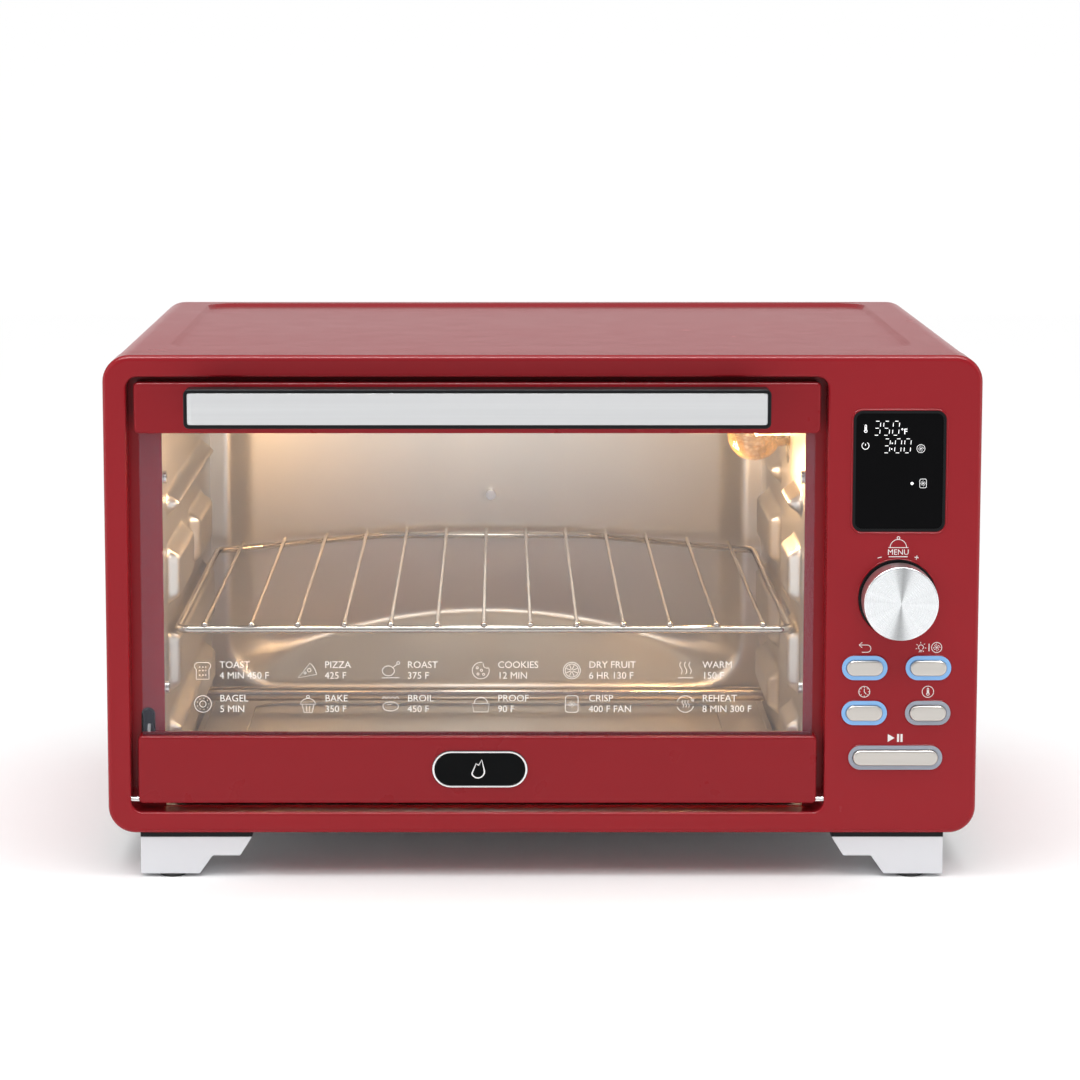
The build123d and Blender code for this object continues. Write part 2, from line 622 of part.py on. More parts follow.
with BuildPart() as knob_bezel:
    turned(FACE_Y - 1.2, FACE_Y + SKIN + 1.0, KNOB_R + 1.1)
    turned(FACE_Y + SKIN, FACE_Y + SKIN + 1.0, KNOB_R + 3.0)
    turned(FACE_Y - 2, FACE_Y + SKIN + 2.0, KNOB_R - 0.6, Mode.SUBTRACT)

# The knob: a moulded body on the encoder's shaft, with a turned aluminium face.
KNOB_FRONT = FACE_Y - KNOB_OUT
CAP_WALL = 3.0
with BuildPart() as knob_body:
    turned(KNOB_FRONT + CAP_WALL, FACE_Y + 1.5, KNOB_R - 1.0)
    turned(KNOB_FRONT + CAP_WALL + 3.0, FACE_Y + 2.5, KNOB_R - 3.0, Mode.SUBTRACT)
    turned(KNOB_FRONT + CAP_WALL + 2.0, FACE_Y + 2.0, 5.0)
    turned(KNOB_FRONT + CAP_WALL + 5.0, FACE_Y + 5.0, ENCODER_SHAFT_R, Mode.SUBTRACT)

with BuildPart() as knob_cap:
    turned(KNOB_FRONT, FACE_Y - 3.0, KNOB_R)
    fillet(knob_cap.edges().filter_by(GeomType.CIRCLE).sort_by(Axis.Y)[0], 0.8)
    turned(KNOB_FRONT + CAP_WALL, FACE_Y, KNOB_R - 1.0, Mode.SUBTRACT)

with BuildPart() as encoder_shaft:
    turned(KNOB_FRONT + CAP_WALL + 5.0, BOARD_Y - 3.0, ENCODER_SHAFT_R)


def light_ring(name):
    x, z, (width, height) = BUTTONS[name]
    outer = (width + 2 * RING_WALL, height + 2 * RING_WALL)
    stadium(x, z, *outer, (FACE_Y - 0.7, FACE_Y + SKIN))
    stadium(x, z, outer[0] + 2, outer[1] + 2, (FACE_Y + SKIN, FACE_Y + SKIN + 1.5))
    stadium(x, z, width + 0.5, height + 0.5, (FACE_Y - 2, FACE_Y + SKIN + 3), Mode.SUBTRACT)


with BuildPart() as lit_button_rings:
    for name in LIT_RINGS:
        light_ring(name)

with BuildPart() as unlit_button_rings:
    for name in BUTTONS:
        if name not in LIT_RINGS:
            light_ring(name)

SWITCH_TOP = BOARD_Y - 4.0
for name, (x, z, (width, height)) in BUTTONS.items():
    with BuildPart() as button:
        stadium(x, z, width, height, (FACE_Y - 2.4, FACE_Y + 6.0))
        fillet(button.faces().sort_by(Axis.Y)[0].edges(), 1.1)
        stadium(x, z, width + 2.4, height + 2.4, (FACE_Y + SKIN + 2.0, FACE_Y + SKIN + 3.2))
        rod((x, FACE_Y + 6.0, z), (x, SWITCH_TOP - PRESS - 0.2, z), 1.6)
    save(button, f"{name}_button")

with BuildPart() as tact_switches:
    for x, z, _ in BUTTONS.values():
        block((x - 3, x + 3), (SWITCH_TOP, BOARD_Y), (z - 3, z + 3))

# ---- door ---------------------------------------------------------------------------------
BADGE = (-32.5, 58.5)
BADGE_SIZE = (50.0, 19.6)


def rail(z):
    """A hollow rail across the door, with soft edges."""
    rounded_plate(DOOR_X, DOOR_Y, z, 2.5)


RAIL_POCKET_X = grown(DOOR_X, -SKIN)
RAIL_POCKET_Y = grown(DOOR_Y, -SKIN)
TOP_RAIL_Z = (DOOR_Z[1] - TOP_RAIL, DOOR_Z[1])
BOTTOM_RAIL_Z = (DOOR_Z[0], DOOR_Z[0] + BOTTOM_RAIL)
POST_XS = (HANDLE_X[0] + 18.0, HANDLE_X[1] - 18.0)
POST = (16.0, 14.0)
HANDLE_MID_Z = middle(HANDLE_Z)
with BuildPart() as door_top_rail:
    rail(TOP_RAIL_Z)
    fillet(door_top_rail.faces().sort_by(Axis.Y)[0].edges(), 1.6)
    block(RAIL_POCKET_X, RAIL_POCKET_Y, (TOP_RAIL_Z[0] - 1, TOP_RAIL_Z[1] - SKIN), Mode.SUBTRACT)
    for x in POST_XS:
        rod((x, DOOR_Y[0] - 1, HANDLE_MID_Z), (x, DOOR_Y[0] + 3, HANDLE_MID_Z), 2.2, Mode.SUBTRACT)
        rod((x, DOOR_Y[1] - 3, HANDLE_MID_Z), (x, DOOR_Y[1] + 1, HANDLE_MID_Z), 4.2, Mode.SUBTRACT)

with BuildPart() as door_bottom_rail:
    rail(BOTTOM_RAIL_Z)
    fillet(door_bottom_rail.faces().sort_by(Axis.Y)[0].edges(), 1.6)
    block(RAIL_POCKET_X, RAIL_POCKET_Y, (BOTTOM_RAIL_Z[0] + SKIN, BOTTOM_RAIL_Z[1] + 1), Mode.SUBTRACT)
    for side in DOOR_X:
        rod((side - 4, PIN_Y, PIN_Z), (side + 4, PIN_Y, PIN_Z), PIN_R, Mode.SUBTRACT)
    stadium(*BADGE, 40.0, 10.0, (DOOR_Y[0] - 1, DOOR_Y[0] + 3), Mode.SUBTRACT)

GLASS_X = grown(DOOR_X, -SKIN - 0.4)
TUCK = 13.0  # how far the glass goes into a rail
GLASS_Z = (BOTTOM_RAIL_Z[1] - TUCK, TOP_RAIL_Z[0] + TUCK)
SEAL = 9.0
with BuildPart() as door_glass:
    rounded_plate(GLASS_X, GLASS_Y, GLASS_Z, 2.0)

with BuildPart() as glass_seals:
    for z in ((GLASS_Z[0], GLASS_Z[0] + SEAL), (GLASS_Z[1] - SEAL, GLASS_Z[1])):
        block(grown(GLASS_X, -30), (RAIL_POCKET_Y[0], GLASS_Y[0]), z)
        block(grown(GLASS_X, -30), (GLASS_Y[1], RAIL_POCKET_Y[1]), z)

BAR_Y = (FACE_Y - HANDLE_OUT, FACE_Y - HANDLE_OUT + HANDLE_BAR)
TRIM_X = grown(HANDLE_X, -1.6)
TRIM_Z = grown(HANDLE_Z, -1.9)
with BuildPart() as handle_bar:
    rounded_plate(HANDLE_X, BAR_Y, HANDLE_Z, 3.0)
    fillet(handle_bar.faces().sort_by(Axis.Y)[0].edges(), 0.8)
    rounded_plate(TRIM_X, (BAR_Y[0] - 1, BAR_Y[0] + 1.0), TRIM_Z, 1.5, Mode.SUBTRACT)
    for x in POST_XS:
        block(
            (x - POST[0] / 2, x + POST[0] / 2),
            (BAR_Y[1], DOOR_Y[0]),
            (HANDLE_MID_Z - POST[1] / 2, HANDLE_MID_Z + POST[1] / 2),
        )
        rod((x, BAR_Y[1] - 4, HANDLE_MID_Z), (x, DOOR_Y[0] + 1, HANDLE_MID_Z), 1.9, Mode.SUBTRACT)

with BuildPart() as handle_trim:
    rounded_plate(TRIM_X, (BAR_Y[0], BAR_Y[0] + 1.0), TRIM_Z, 1.5)

with BuildPart() as handle_screws:
    for x in POST_XS:
        rod((x, BAR_Y[1] - 4, HANDLE_MID_Z), (x, DOOR_Y[0] + SKIN, HANDLE_MID_Z), 1.9)
        rod((x, DOOR_Y[0] + SKIN, HANDLE_MID_Z), (x, DOOR_Y[0] + SKIN + 2.2, HANDLE_MID_Z), 3.6)

PIN_REACH = 9.0
with BuildPart() as hinge_pins:
    for x in ((DOOR_X[0] - PIN_REACH, DOOR_X[0] + 3.0), (DOOR_X[1] - 3.0, DOOR_X[1] + PIN_REACH)):
        rod((x[0], PIN_Y, PIN_Z), (x[1], PIN_Y, PIN_Z), PIN_R)

with BuildPart() as hinge_bushings:
    for x in (
        (RECESS_X[0] - SKIN - 5.0, RECESS_X[0] - SKIN),
        (RECESS_X[1] + SKIN, RECESS_X[1] + SKIN + 5.0),
    ):
        block(x, (FACE_Y + SKIN, FACE_Y + 10.0), (PIN_Z - 4.0, PIN_Z + 6.0))
        rod((x[0] - 1, PIN_Y, PIN_Z), (x[1] + 1, PIN_Y, PIN_Z), PIN_R + RUNNING, Mode.SUBTRACT)


def about_hinge(radius, angle):
    """Y and Z of a point at that radius from the hinge axis; the angle runs from +Z towards +Y."""
    return (PIN_Y + radius * sin(radians(angle)), PIN_Z + radius * cos(radians(angle)))


ARM_HOLE = about_hinge(middle(ARM_RADII), ARM_ANGLES[1] - 5.0)
with BuildPart() as door_arm:
    with BuildSketch(Plane.YZ.offset(ARM_X[0])):
        with BuildLine():
            inner, outer = ARM_RADII
            start, end = ARM_ANGLES
            mid = middle(ARM_ANGLES)
            ThreePointArc(about_hinge(outer, start), about_hinge(outer, mid), about_hinge(outer, end))
            Line(about_hinge(outer, end), about_hinge(inner, end))
            ThreePointArc(about_hinge(inner, end), about_hinge(inner, mid), about_hinge(inner, start))
            Line(about_hinge(inner, start), about_hinge(outer, start))
        make_face()
    extrude(amount=size(ARM_X))
    rod((ARM_X[0] - 1, *ARM_HOLE), (ARM_X[1] + 1, *ARM_HOLE), 1.4, Mode.SUBTRACT)
    foot = about_hinge(middle(ARM_RADII), start)
    block((ARM_X[0] - 2, ARM_X[1] + 8), (DOOR_Y[1], DOOR_Y[1] + 0.8), (foot[1] - 14, foot[1] - 2))
    block(ARM_X, (DOOR_Y[1], foot[0] + 1), (foot[1] - 12, foot[1] - 2))

with BuildPart() as badge:
    stadium(*BADGE, *BADGE_SIZE, (DOOR_Y[0] - 0.5, DOOR_Y[0]))
    stadium(*BADGE, BADGE_SIZE[0] - 2.4, BADGE_SIZE[1] - 2.4, (DOOR_Y[0] - 2, DOOR_Y[0] - 0.3), Mode.SUBTRACT)
    stadium(*BADGE, 39.8, 9.8, (DOOR_Y[0], DOOR_Y[0] + 1.8))

FLANGE_Y = (FACE_Y + RECESS_DEPTH, FACE_Y + RECESS_DEPTH + FLANGE)
with BuildPart() as slot_grommet:
    for wider, y, mode in (
        (0.0, FLANGE_Y, Mode.ADD),
        (2.4, (FLANGE_Y[1], FLANGE_Y[1] + 1.0), Mode.ADD),
        (-2.4, grown(FLANGE_Y, 2.0), Mode.SUBTRACT),
    ):
        with BuildSketch(facing(y[1])):
            with Locations((middle(ARM_X), SLOT_Z)):
                SlotOverall(SLOT_LENGTH + wider, SLOT_WIDTH + wider, rotation=90)
        extrude(amount=size(y), mode=mode)

# The spring's envelope, between the arm's end hole and the tab; its hooks reach into both.
HOOK = 6.0
spring_ends = ((middle(ARM_X), *ARM_HOLE), (middle(ARM_X), SPRING_TAB_Y + 4.0, SPRING_TAB_Z))
spring_line = Vector(*spring_ends[1]) - Vector(*spring_ends[0])
spring_way = spring_line.normalized()
with BuildPart() as door_spring:
    rod(
        tuple(Vector(*spring_ends[0]) + spring_way * HOOK),
        tuple(Vector(*spring_ends[1]) - spring_way * HOOK),
        SPRING_R,
    )

# ---- rack and crumb tray ------------------------------------------------------------------
def back_bar_y(offset):
    """Y of the rack's back bar at that distance from the rack's middle."""
    if abs(offset) <= RACK_MID:
        return RACK_Y[2]
    share = (abs(offset) - RACK_MID) / (RACK_HALF - RACK_MID)
    return RACK_Y[2] + (RACK_Y[1] - RACK_Y[2]) * share


RACK_PATH = [
    (RACK_HALF, RACK_Y[0]),
    (RACK_HALF, RACK_Y[1]),
    (RACK_MID, RACK_Y[2]),
    (-RACK_MID, RACK_Y[2]),
    (-RACK_HALF, RACK_Y[1]),
    (-RACK_HALF, RACK_Y[0]),
]
with BuildPart() as wire_rack:
    with BuildLine() as outline:
        FilletPolyline(*[(CAVITY_MID_X + x, y, RACK_Z) for x, y in RACK_PATH], radius=7.0, close=True)
    with BuildSketch(Plane(origin=outline.wire() @ 0, z_dir=outline.wire() % 0)):
        Circle(ROD_R)
    sweep()
    wire_z = RACK_Z + ROD_R + WIRE_R - 0.4
    for n in range(WIRES):
        across = (n - (WIRES - 1) / 2) * WIRE_PITCH
        x = CAVITY_MID_X + across
        rod((x, RACK_Y[0] - 1.6, wire_z), (x, back_bar_y(across) + 4.0, wire_z), WIRE_R)

TRAY_X = (CAVITY_X[0] + 4.0, CAVITY_X[1] - 4.0)
TRAY_Y = (FACE_Y + RECESS_DEPTH + 7.5, 124.0)
TRAY_Z = (35.7, 38.3)
TRAY_SHEET = 0.6
TRAY_STEP = 1.2
TRAY_BORDER = 26.0
with BuildPart() as crumb_tray:
    block(TRAY_X, TRAY_Y, TRAY_Z)
    rim_z = (TRAY_Z[0] + TRAY_STEP + TRAY_SHEET, TRAY_Z[1] + 1)
    block(grown(TRAY_X, -TRAY_SHEET), grown(TRAY_Y, -TRAY_SHEET), rim_z, Mode.SUBTRACT)
    # Its middle is pressed down inside a raised border.
    with BuildSketch(Plane.XY.offset(TRAY_Z[0] + TRAY_SHEET)):
        with Locations((middle(TRAY_X), middle(TRAY_Y))):
            RectangleRounded(size(TRAY_X) - 2 * TRAY_BORDER, size(TRAY_Y) - 2 * TRAY_BORDER, 14)
    extrude(amount=TRAY_STEP + 1, mode=Mode.SUBTRACT)
    with BuildSketch(Plane.XY.offset(TRAY_Z[0] - 1)):
        with Locations((middle(TRAY_X), middle(TRAY_Y))):
            RectangleRounded(size(TRAY_X) - 2 * TRAY_SHEET, size(TRAY_Y) - 2 * TRAY_SHEET, 1)
            pan = 2 * (TRAY_BORDER - TRAY_SHEET)
            RectangleRounded(size(TRAY_X) - pan, size(TRAY_Y) - pan, 14.6, mode=Mode.SUBTRACT)
    extrude(amount=1 + TRAY_STEP, mode=Mode.SUBTRACT)

# ---- cable gland and fasteners ------------------------------------------------------------
GLAND_Y = (COVER_Y[0] - 5.0, BACK_Y + 3.0)
with BuildPart() as cord_gland:
    rod((GLAND[0], GLAND_Y[0], GLAND[1]), (GLAND[0], GLAND_Y[1], GLAND[1]), 6.4)
    rod((GLAND[0], COVER_Y[1], GLAND[1]), (GLAND[0], COVER_Y[1] + 2.0, GLAND[1]), 9.0)
    rod((GLAND[0], COVER_Y[0] - 2.0, GLAND[1]), (GLAND[0], COVER_Y[0], GLAND[1]), 8.0)
    rod((GLAND[0], GLAND_Y[0] - 1, GLAND[1]), (GLAND[0], GLAND_Y[1] + 1, GLAND[1]), GLAND_BORE, Mode.SUBTRACT)


def screw_head(x, y, z, toward):
    """A pan head on a face; toward is the axis it stands out along."""
    way = Vector(*toward)
    head = Vector(x, y, z)
    rod(tuple(head), tuple(head + way * 1.8), 3.4)
    rod(tuple(head + way * 1.0), tuple(head + way * 3.0), 1.2, Mode.SUBTRACT)


COVER_SCREWS = [(x, z) for x in (-212.0, 213.0) for z in (40.0, 150.0, 258.0)]
COVER_SCREWS += [(-90.0, 262.0), (60.0, 262.0)]
LINER_SCREWS = [(x, inward, z) for x, inward in zip(CAVITY_X, (1, -1)) for z in LINER_SCREW_Z]
with BuildPart() as casing_screws:
    for x, z in COVER_SCREWS:
        screw_head(x, COVER_Y[1], z, (0, 1, 0))
    for x, inward, z in LINER_SCREWS:
        screw_head(x, FACE_Y + LINER_SCREW_DEPTH, z, (inward, 0, 0))
    for x, y in FOOT_AT:
        screw_head(x, y, PLATE_Z[0] if y < 0 else PLATE_Z[1], (0, 0, 1))

for name, part in {
    "front_panel": front_panel,
    "outer_shell": outer_shell,
    "rear_cover": rear_cover,
    "bottom_plate": bottom_plate,
    "feet": feet,
    "foot_spacers": foot_spacers,
    "foot_pads": foot_pads,
    "left_liner": left_liner,
    "right_liner": right_liner,
    "top_liner": top_liner,
    "floor_liner": floor_liner,
    "back_liner": back_liner,
    "temperature_probe": temperature_probe,
    "lower_heaters": lower_heaters,
    "upper_heaters": upper_heaters,
    "heater_insulators": heater_insulators,
    "lamp_bulb": lamp_bulb,
    "lamp_filament": lamp_filament,
    "lamp_socket": lamp_socket,
    "lamp_bezel": lamp_bezel,
    "fan_housing": fan_housing,
    "fan_motor": fan_motor,
    "fan_wheel": fan_wheel,
    "fan_shaft": fan_shaft,
    "display_bezel": display_bezel,
    "display_window": display_window,
    "display_module": display_module,
    "control_board": control_board,
    "encoder": encoder,
    "encoder_shaft": encoder_shaft,
    "power_board": power_board,
    "knob_bezel": knob_bezel,
    "knob_body": knob_body,
    "knob_cap": knob_cap,
    "lit_button_rings": lit_button_rings,
    "unlit_button_rings": unlit_button_rings,
    "tact_switches": tact_switches,
    "door_top_rail": door_top_rail,
    "door_bottom_rail": door_bottom_rail,
    "door_glass": door_glass,
    "glass_seals": glass_seals,
    "handle_bar": handle_bar,
    "handle_trim": handle_trim,
    "handle_screws": handle_screws,
    "hinge_pins": hinge_pins,
    "hinge_bushings": hinge_bushings,
    "door_arm": door_arm,
    "badge": badge,
    "slot_grommet": slot_grommet,
    "door_spring": door_spring,
    "wire_rack": wire_rack,
    "crumb_tray": crumb_tray,
    "cord_gland": cord_gland,
    "casing_screws": casing_screws,
}.items():
    save(part, name)
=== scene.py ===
import json
import math

import bpy
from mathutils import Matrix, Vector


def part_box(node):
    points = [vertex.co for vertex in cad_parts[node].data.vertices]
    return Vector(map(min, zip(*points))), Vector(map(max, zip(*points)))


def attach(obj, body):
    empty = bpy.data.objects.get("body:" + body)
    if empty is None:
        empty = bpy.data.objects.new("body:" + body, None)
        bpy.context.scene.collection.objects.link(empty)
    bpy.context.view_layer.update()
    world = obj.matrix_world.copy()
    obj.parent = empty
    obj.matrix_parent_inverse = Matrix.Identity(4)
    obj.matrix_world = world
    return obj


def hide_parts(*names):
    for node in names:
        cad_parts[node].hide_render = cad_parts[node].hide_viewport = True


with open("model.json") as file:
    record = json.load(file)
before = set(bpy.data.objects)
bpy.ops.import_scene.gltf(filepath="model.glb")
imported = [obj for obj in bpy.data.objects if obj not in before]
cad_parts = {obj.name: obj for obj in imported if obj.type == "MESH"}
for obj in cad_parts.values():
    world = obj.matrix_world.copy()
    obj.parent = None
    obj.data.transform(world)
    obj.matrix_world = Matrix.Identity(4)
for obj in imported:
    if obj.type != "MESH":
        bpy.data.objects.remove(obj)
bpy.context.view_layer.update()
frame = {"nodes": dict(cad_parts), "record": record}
bpy.ops.object.select_all(action="DESELECT")

MM = 0.001
record_slot = {part["node"]: part["material_slot"] for part in frame["record"]["subparts"]}
body_of = {node: body for body, nodes in frame["record"]["behaviour"]["bodies"].items() for node in nodes}


# ---- shader arithmetic --------------------------------------------------------------------
class Signal:
    """One output of a node in a finish, with arithmetic on it."""

    def __init__(self, finish, socket):
        self.finish = finish
        self.socket = socket

    def math(self, operation, first, second=0.0):
        return self.finish.node("ShaderNodeMath", {"operation": operation}, {0: first, 1: second})

    def __add__(self, other):
        return self.math("ADD", self, other)

    def __sub__(self, other):
        return self.math("SUBTRACT", self, other)

    def __rsub__(self, other):
        return self.math("SUBTRACT", other, self)

    def __mul__(self, other):
        return self.math("MULTIPLY", self, other)

    def __pow__(self, other):
        return self.math("POWER", self, other)

    __radd__ = __add__
    __rmul__ = __mul__


class Finish:
    """A procedural material in Object coordinates: one Principled shader and the nodes that feed it."""

    def __init__(self, name, **sockets):
        self.material = bpy.data.materials.new(name)
        self.material.use_nodes = True
        self.tree = self.material.node_tree
        self.shader = next(node for node in self.tree.nodes if node.type == "BSDF_PRINCIPLED")
        self.place = self.node("ShaderNodeTexCoord", {}, {}, "Object")
        self.feed(**sockets)

    def node(self, kind, settings, inputs, output=0):
        """Adds a node, sets it, links or sets its inputs, and returns one of its outputs."""
        made = self.tree.nodes.new(kind)
        for name, value in settings.items():
            if name == "stops":
                for stop, (position, level) in zip(made.color_ramp.elements, value):
                    stop.position = position
                    stop.color = (level, level, level, 1)
            else:
                setattr(made, name, value)
        for key, value in inputs.items():
            if isinstance(value, Signal):
                self.tree.links.new(value.socket, made.inputs[key])
            else:
                made.inputs[key].default_value = value
        return Signal(self, made.outputs[output])

    def feed(self, **sockets):
        """Sets or links the shader's sockets: Base_Color for Base Color, and so on."""
        for name, value in sockets.items():
            socket = self.shader.inputs[name.replace("_", " ")]
            if isinstance(value, Signal):
                self.tree.links.new(value.socket, socket)
            else:
                socket.default_value = value
        return self

    def stretched(self, scale, centre=(0, 0, 0)):
        """Object coordinates scaled along each axis, about a centre."""
        moved = tuple(-c * s for c, s in zip(centre, scale))
        return self.node("ShaderNodeMapping", {}, {"Vector": self.place, "Location": moved, "Scale": scale})

    def noise(self, scale, detail=3.0, stretch=(1, 1, 1)):
        """Noise from 0 to 1 whose blobs are about 1 / scale metres across."""
        where = self.stretched(stretch)
        return self.node("ShaderNodeTexNoise", {}, {"Vector": where, "Scale": scale, "Detail": detail})

    def stops(self, value, low, high):
        """value spread out so that low becomes 0 and high becomes 1."""
        return self.node("ShaderNodeMapRange", {}, {"Value": value, "From Min": low, "From Max": high})

    def blend(self, mask, first, second):
        """A colour between two colours."""
        inputs = {0: mask, 6: first, 7: second}
        return self.node("ShaderNodeMix", {"data_type": "RGBA"}, inputs, 2)

    def relief(self, height, strength, distance):
        """Feeds a bump of that height, in metres at full height, to the shader."""
        bump = {"Height": height, "Strength": strength, "Distance": distance}
        return self.feed(Normal=self.node("ShaderNodeBump", {}, bump))


def tint(colour, factor):
    """A colour made lighter or darker."""
    return tuple(min(1.0, channel * factor) for channel in colour[:3]) + (1.0,)


# ---- finishes -----------------------------------------------------------------------------
def enamel(name, colour, roughness=0.22, specular=0.17):
    """Baked enamel: slight orange peel, a soft gloss, and a little dust and handling wear."""
    finish = Finish(name, Specular_IOR_Level=specular, Coat_Weight=0.09, Coat_Roughness=0.07)
    cloud = finish.noise(9.0, 4.0)
    peel = finish.noise(1400.0, 2.0)
    handled = finish.noise(55.0, 6.0)
    finish.feed(
        Base_Color=finish.blend(cloud, tint(colour, 0.95), tint(colour, 1.06)),
        Roughness=roughness + 0.05 * handled + 0.03 * cloud,
    )
    return finish.relief(peel, 0.05, 0.02 * MM)


def sheet_steel(name, colour, roughness, grain=(1, 1, 1), metallic=0.9):
    """Rolled or plated sheet: a faint cloudy bloom and fine rolling lines along the grain."""
    finish = Finish(name, Metallic=metallic)
    bloom = finish.noise(14.0, 5.0)
    lines = finish.noise(1.0, 3.0, grain)
    finish.feed(
        Base_Color=finish.blend(bloom, tint(colour, 0.9), tint(colour, 1.08)),
        Roughness=roughness + 0.10 * bloom + 0.08 * lines - 0.09,
    )
    return finish.relief(lines, 0.10, 0.03 * MM)


def brushed(name, colour, roughness, along=0):
    """Stainless steel brushed along one axis."""
    finish = Finish(name, Metallic=1.0)
    stretch = [2600.0, 2600.0, 2600.0]
    stretch[along] = 30.0
    scratches = finish.noise(1.0, 4.0, tuple(stretch))
    wide = finish.noise(1.0, 2.0, tuple(value / 9 for value in stretch))
    finish.feed(
        Base_Color=finish.blend(wide, tint(colour, 0.90), tint(colour, 1.07)),
        Roughness=roughness + 0.16 * scratches - 0.06,
    )
    return finish.relief(scratches, 0.35, 0.02 * MM)


def spun(name, colour, centre):
    """Turned aluminium: fine rings about an axis along Y, with a painted reflection in its colour: a dark
    wedge and uneven radial stripes round the axis.
    """
    finish = Finish(name, Metallic=1.0)
    flat = finish.stretched((1, 0, 1), centre)
    radius = finish.node("ShaderNodeVectorMath", {"operation": "LENGTH"}, {0: flat}, "Value")
    phase = radius * 5200.0 + 3.0 * finish.noise(900.0, 2.0)
    rings = finish.node("ShaderNodeMath", {"operation": "SINE"}, {0: phase})
    axes = finish.node("ShaderNodeSeparateXYZ", {}, {0: flat})
    depth = finish.node("ShaderNodeSeparateXYZ", {}, {0: flat}, "Z")
    angle = finish.node("ShaderNodeMath", {"operation": "ARCTAN2"}, {0: depth, 1: axes})
    wedge = finish.node("ShaderNodeMath", {"operation": "COSINE"}, {0: angle * 2.0 - 3.0})
    along_rim = {"W": angle, "Scale": 4.5, "Detail": 4.0}
    painted_reflection_streaks = finish.node("ShaderNodeTexNoise", {"noise_dimensions": "1D"}, along_rim)
    # Painted reflection: the colour darkens in a narrow wedge and in uneven radial stripes round the axis,
    # where turned metal shows its reflections.
    painted_reflection_wedge = finish.stops(wedge, -1.0, 1.0) ** 16.0
    finish.feed(
        Base_Color=finish.blend(painted_reflection_wedge * 0.75 + 0.30 * painted_reflection_streaks, tint(colour, 1.08), tint(colour, 0.42)),
        Roughness=0.30 + 0.03 * rings,
    )
    return finish.relief(rings, 0.12, 0.02 * MM)


def moulded(name, colour, roughness=0.45, grain=1500.0, depth=0.03, specular=0.5):
    """Moulded plastic or rubber with a fine texture and slightly polished high spots."""
    finish = Finish(name, Specular_IOR_Level=specular)
    texture = finish.noise(grain, 3.0)
    patches = finish.noise(30.0, 3.0)
    finish.feed(
        Base_Color=finish.blend(patches, tint(colour, 0.85), tint(colour, 1.2)),
        Roughness=roughness + 0.12 * patches - 0.06,
    )
    return finish.relief(texture, 0.25, depth * MM)


def polished(name, colour, roughness, metallic=1.0):
    """Bright plated or polished metal with faint heat and handling marks."""
    finish = Finish(name, Metallic=metallic)
    marks = finish.noise(120.0, 5.0)
    finish.feed(
        Base_Color=finish.blend(marks, tint(colour, 0.88), tint(colour, 1.05)),
        Roughness=roughness + 0.14 * marks - 0.05,
    )
    return finish.relief(marks, 0.05, 0.02 * MM)


def gloss_black(name, colour, roughness):
    """Black glass or lacquer with a low-reflection coat and faint finger marks."""
    finish = Finish(name, Specular_IOR_Level=0.05)
    marks = finish.noise(45.0, 4.0)
    finish.feed(
        Base_Color=finish.blend(marks, tint(colour, 0.8), tint(colour, 1.3)),
        Roughness=roughness + 0.08 * marks,
    )
    return finish


def clear_glass(name, colour, alpha, ripple=0.0):
    """Thin clear glass: mostly open, with its reflections. ripple gives a crackled bulb its folds."""
    finish = Finish(name, Specular_IOR_Level=0.6)
    smear = finish.noise(18.0, 4.0)
    finish.feed(Base_Color=tint(colour, 1.0), Alpha=alpha + 0.03 * smear, Roughness=0.03 + 0.05 * smear)
    if ripple:
        folds = finish.node("ShaderNodeTexVoronoi", {"feature": "DISTANCE_TO_EDGE"},
                            {"Vector": finish.place, "Scale": 260.0})
        finish.relief(folds, 0.8, ripple)
        finish.feed(Alpha=alpha + 0.4 * (1.0 - finish.stops(folds, 0.0, 0.10)))
    return finish


def glowing(name, colour, strength, base=(0.8, 0.8, 0.8)):
    """A lit surface, a little uneven."""
    finish = Finish(name, Emission_Strength=strength, Roughness=0.4)
    uneven = finish.noise(220.0, 2.0)
    finish.feed(
        Base_Color=tint(base, 1.0),
        Emission_Color=finish.blend(uneven, tint(colour, 0.85), tint(colour, 1.1)),
    )
    return finish


def printed(name, colour):
    """Screen-printed ink, with a faint painted glow: the ink gives off light though it is no lamp."""
    finish = Finish(name)
    ink = finish.noise(2500.0, 2.0)
    finish.feed(
        Base_Color=finish.blend(ink, tint(colour, 0.94), tint(colour, 1.03)),
        Roughness=0.45 + 0.1 * ink,
    )
    # Painted glow: a little emission makes the print brighter than the lamps alone light it.
    return finish.feed(Emission_Color=tint(colour, 1.0), Emission_Strength=0.12)


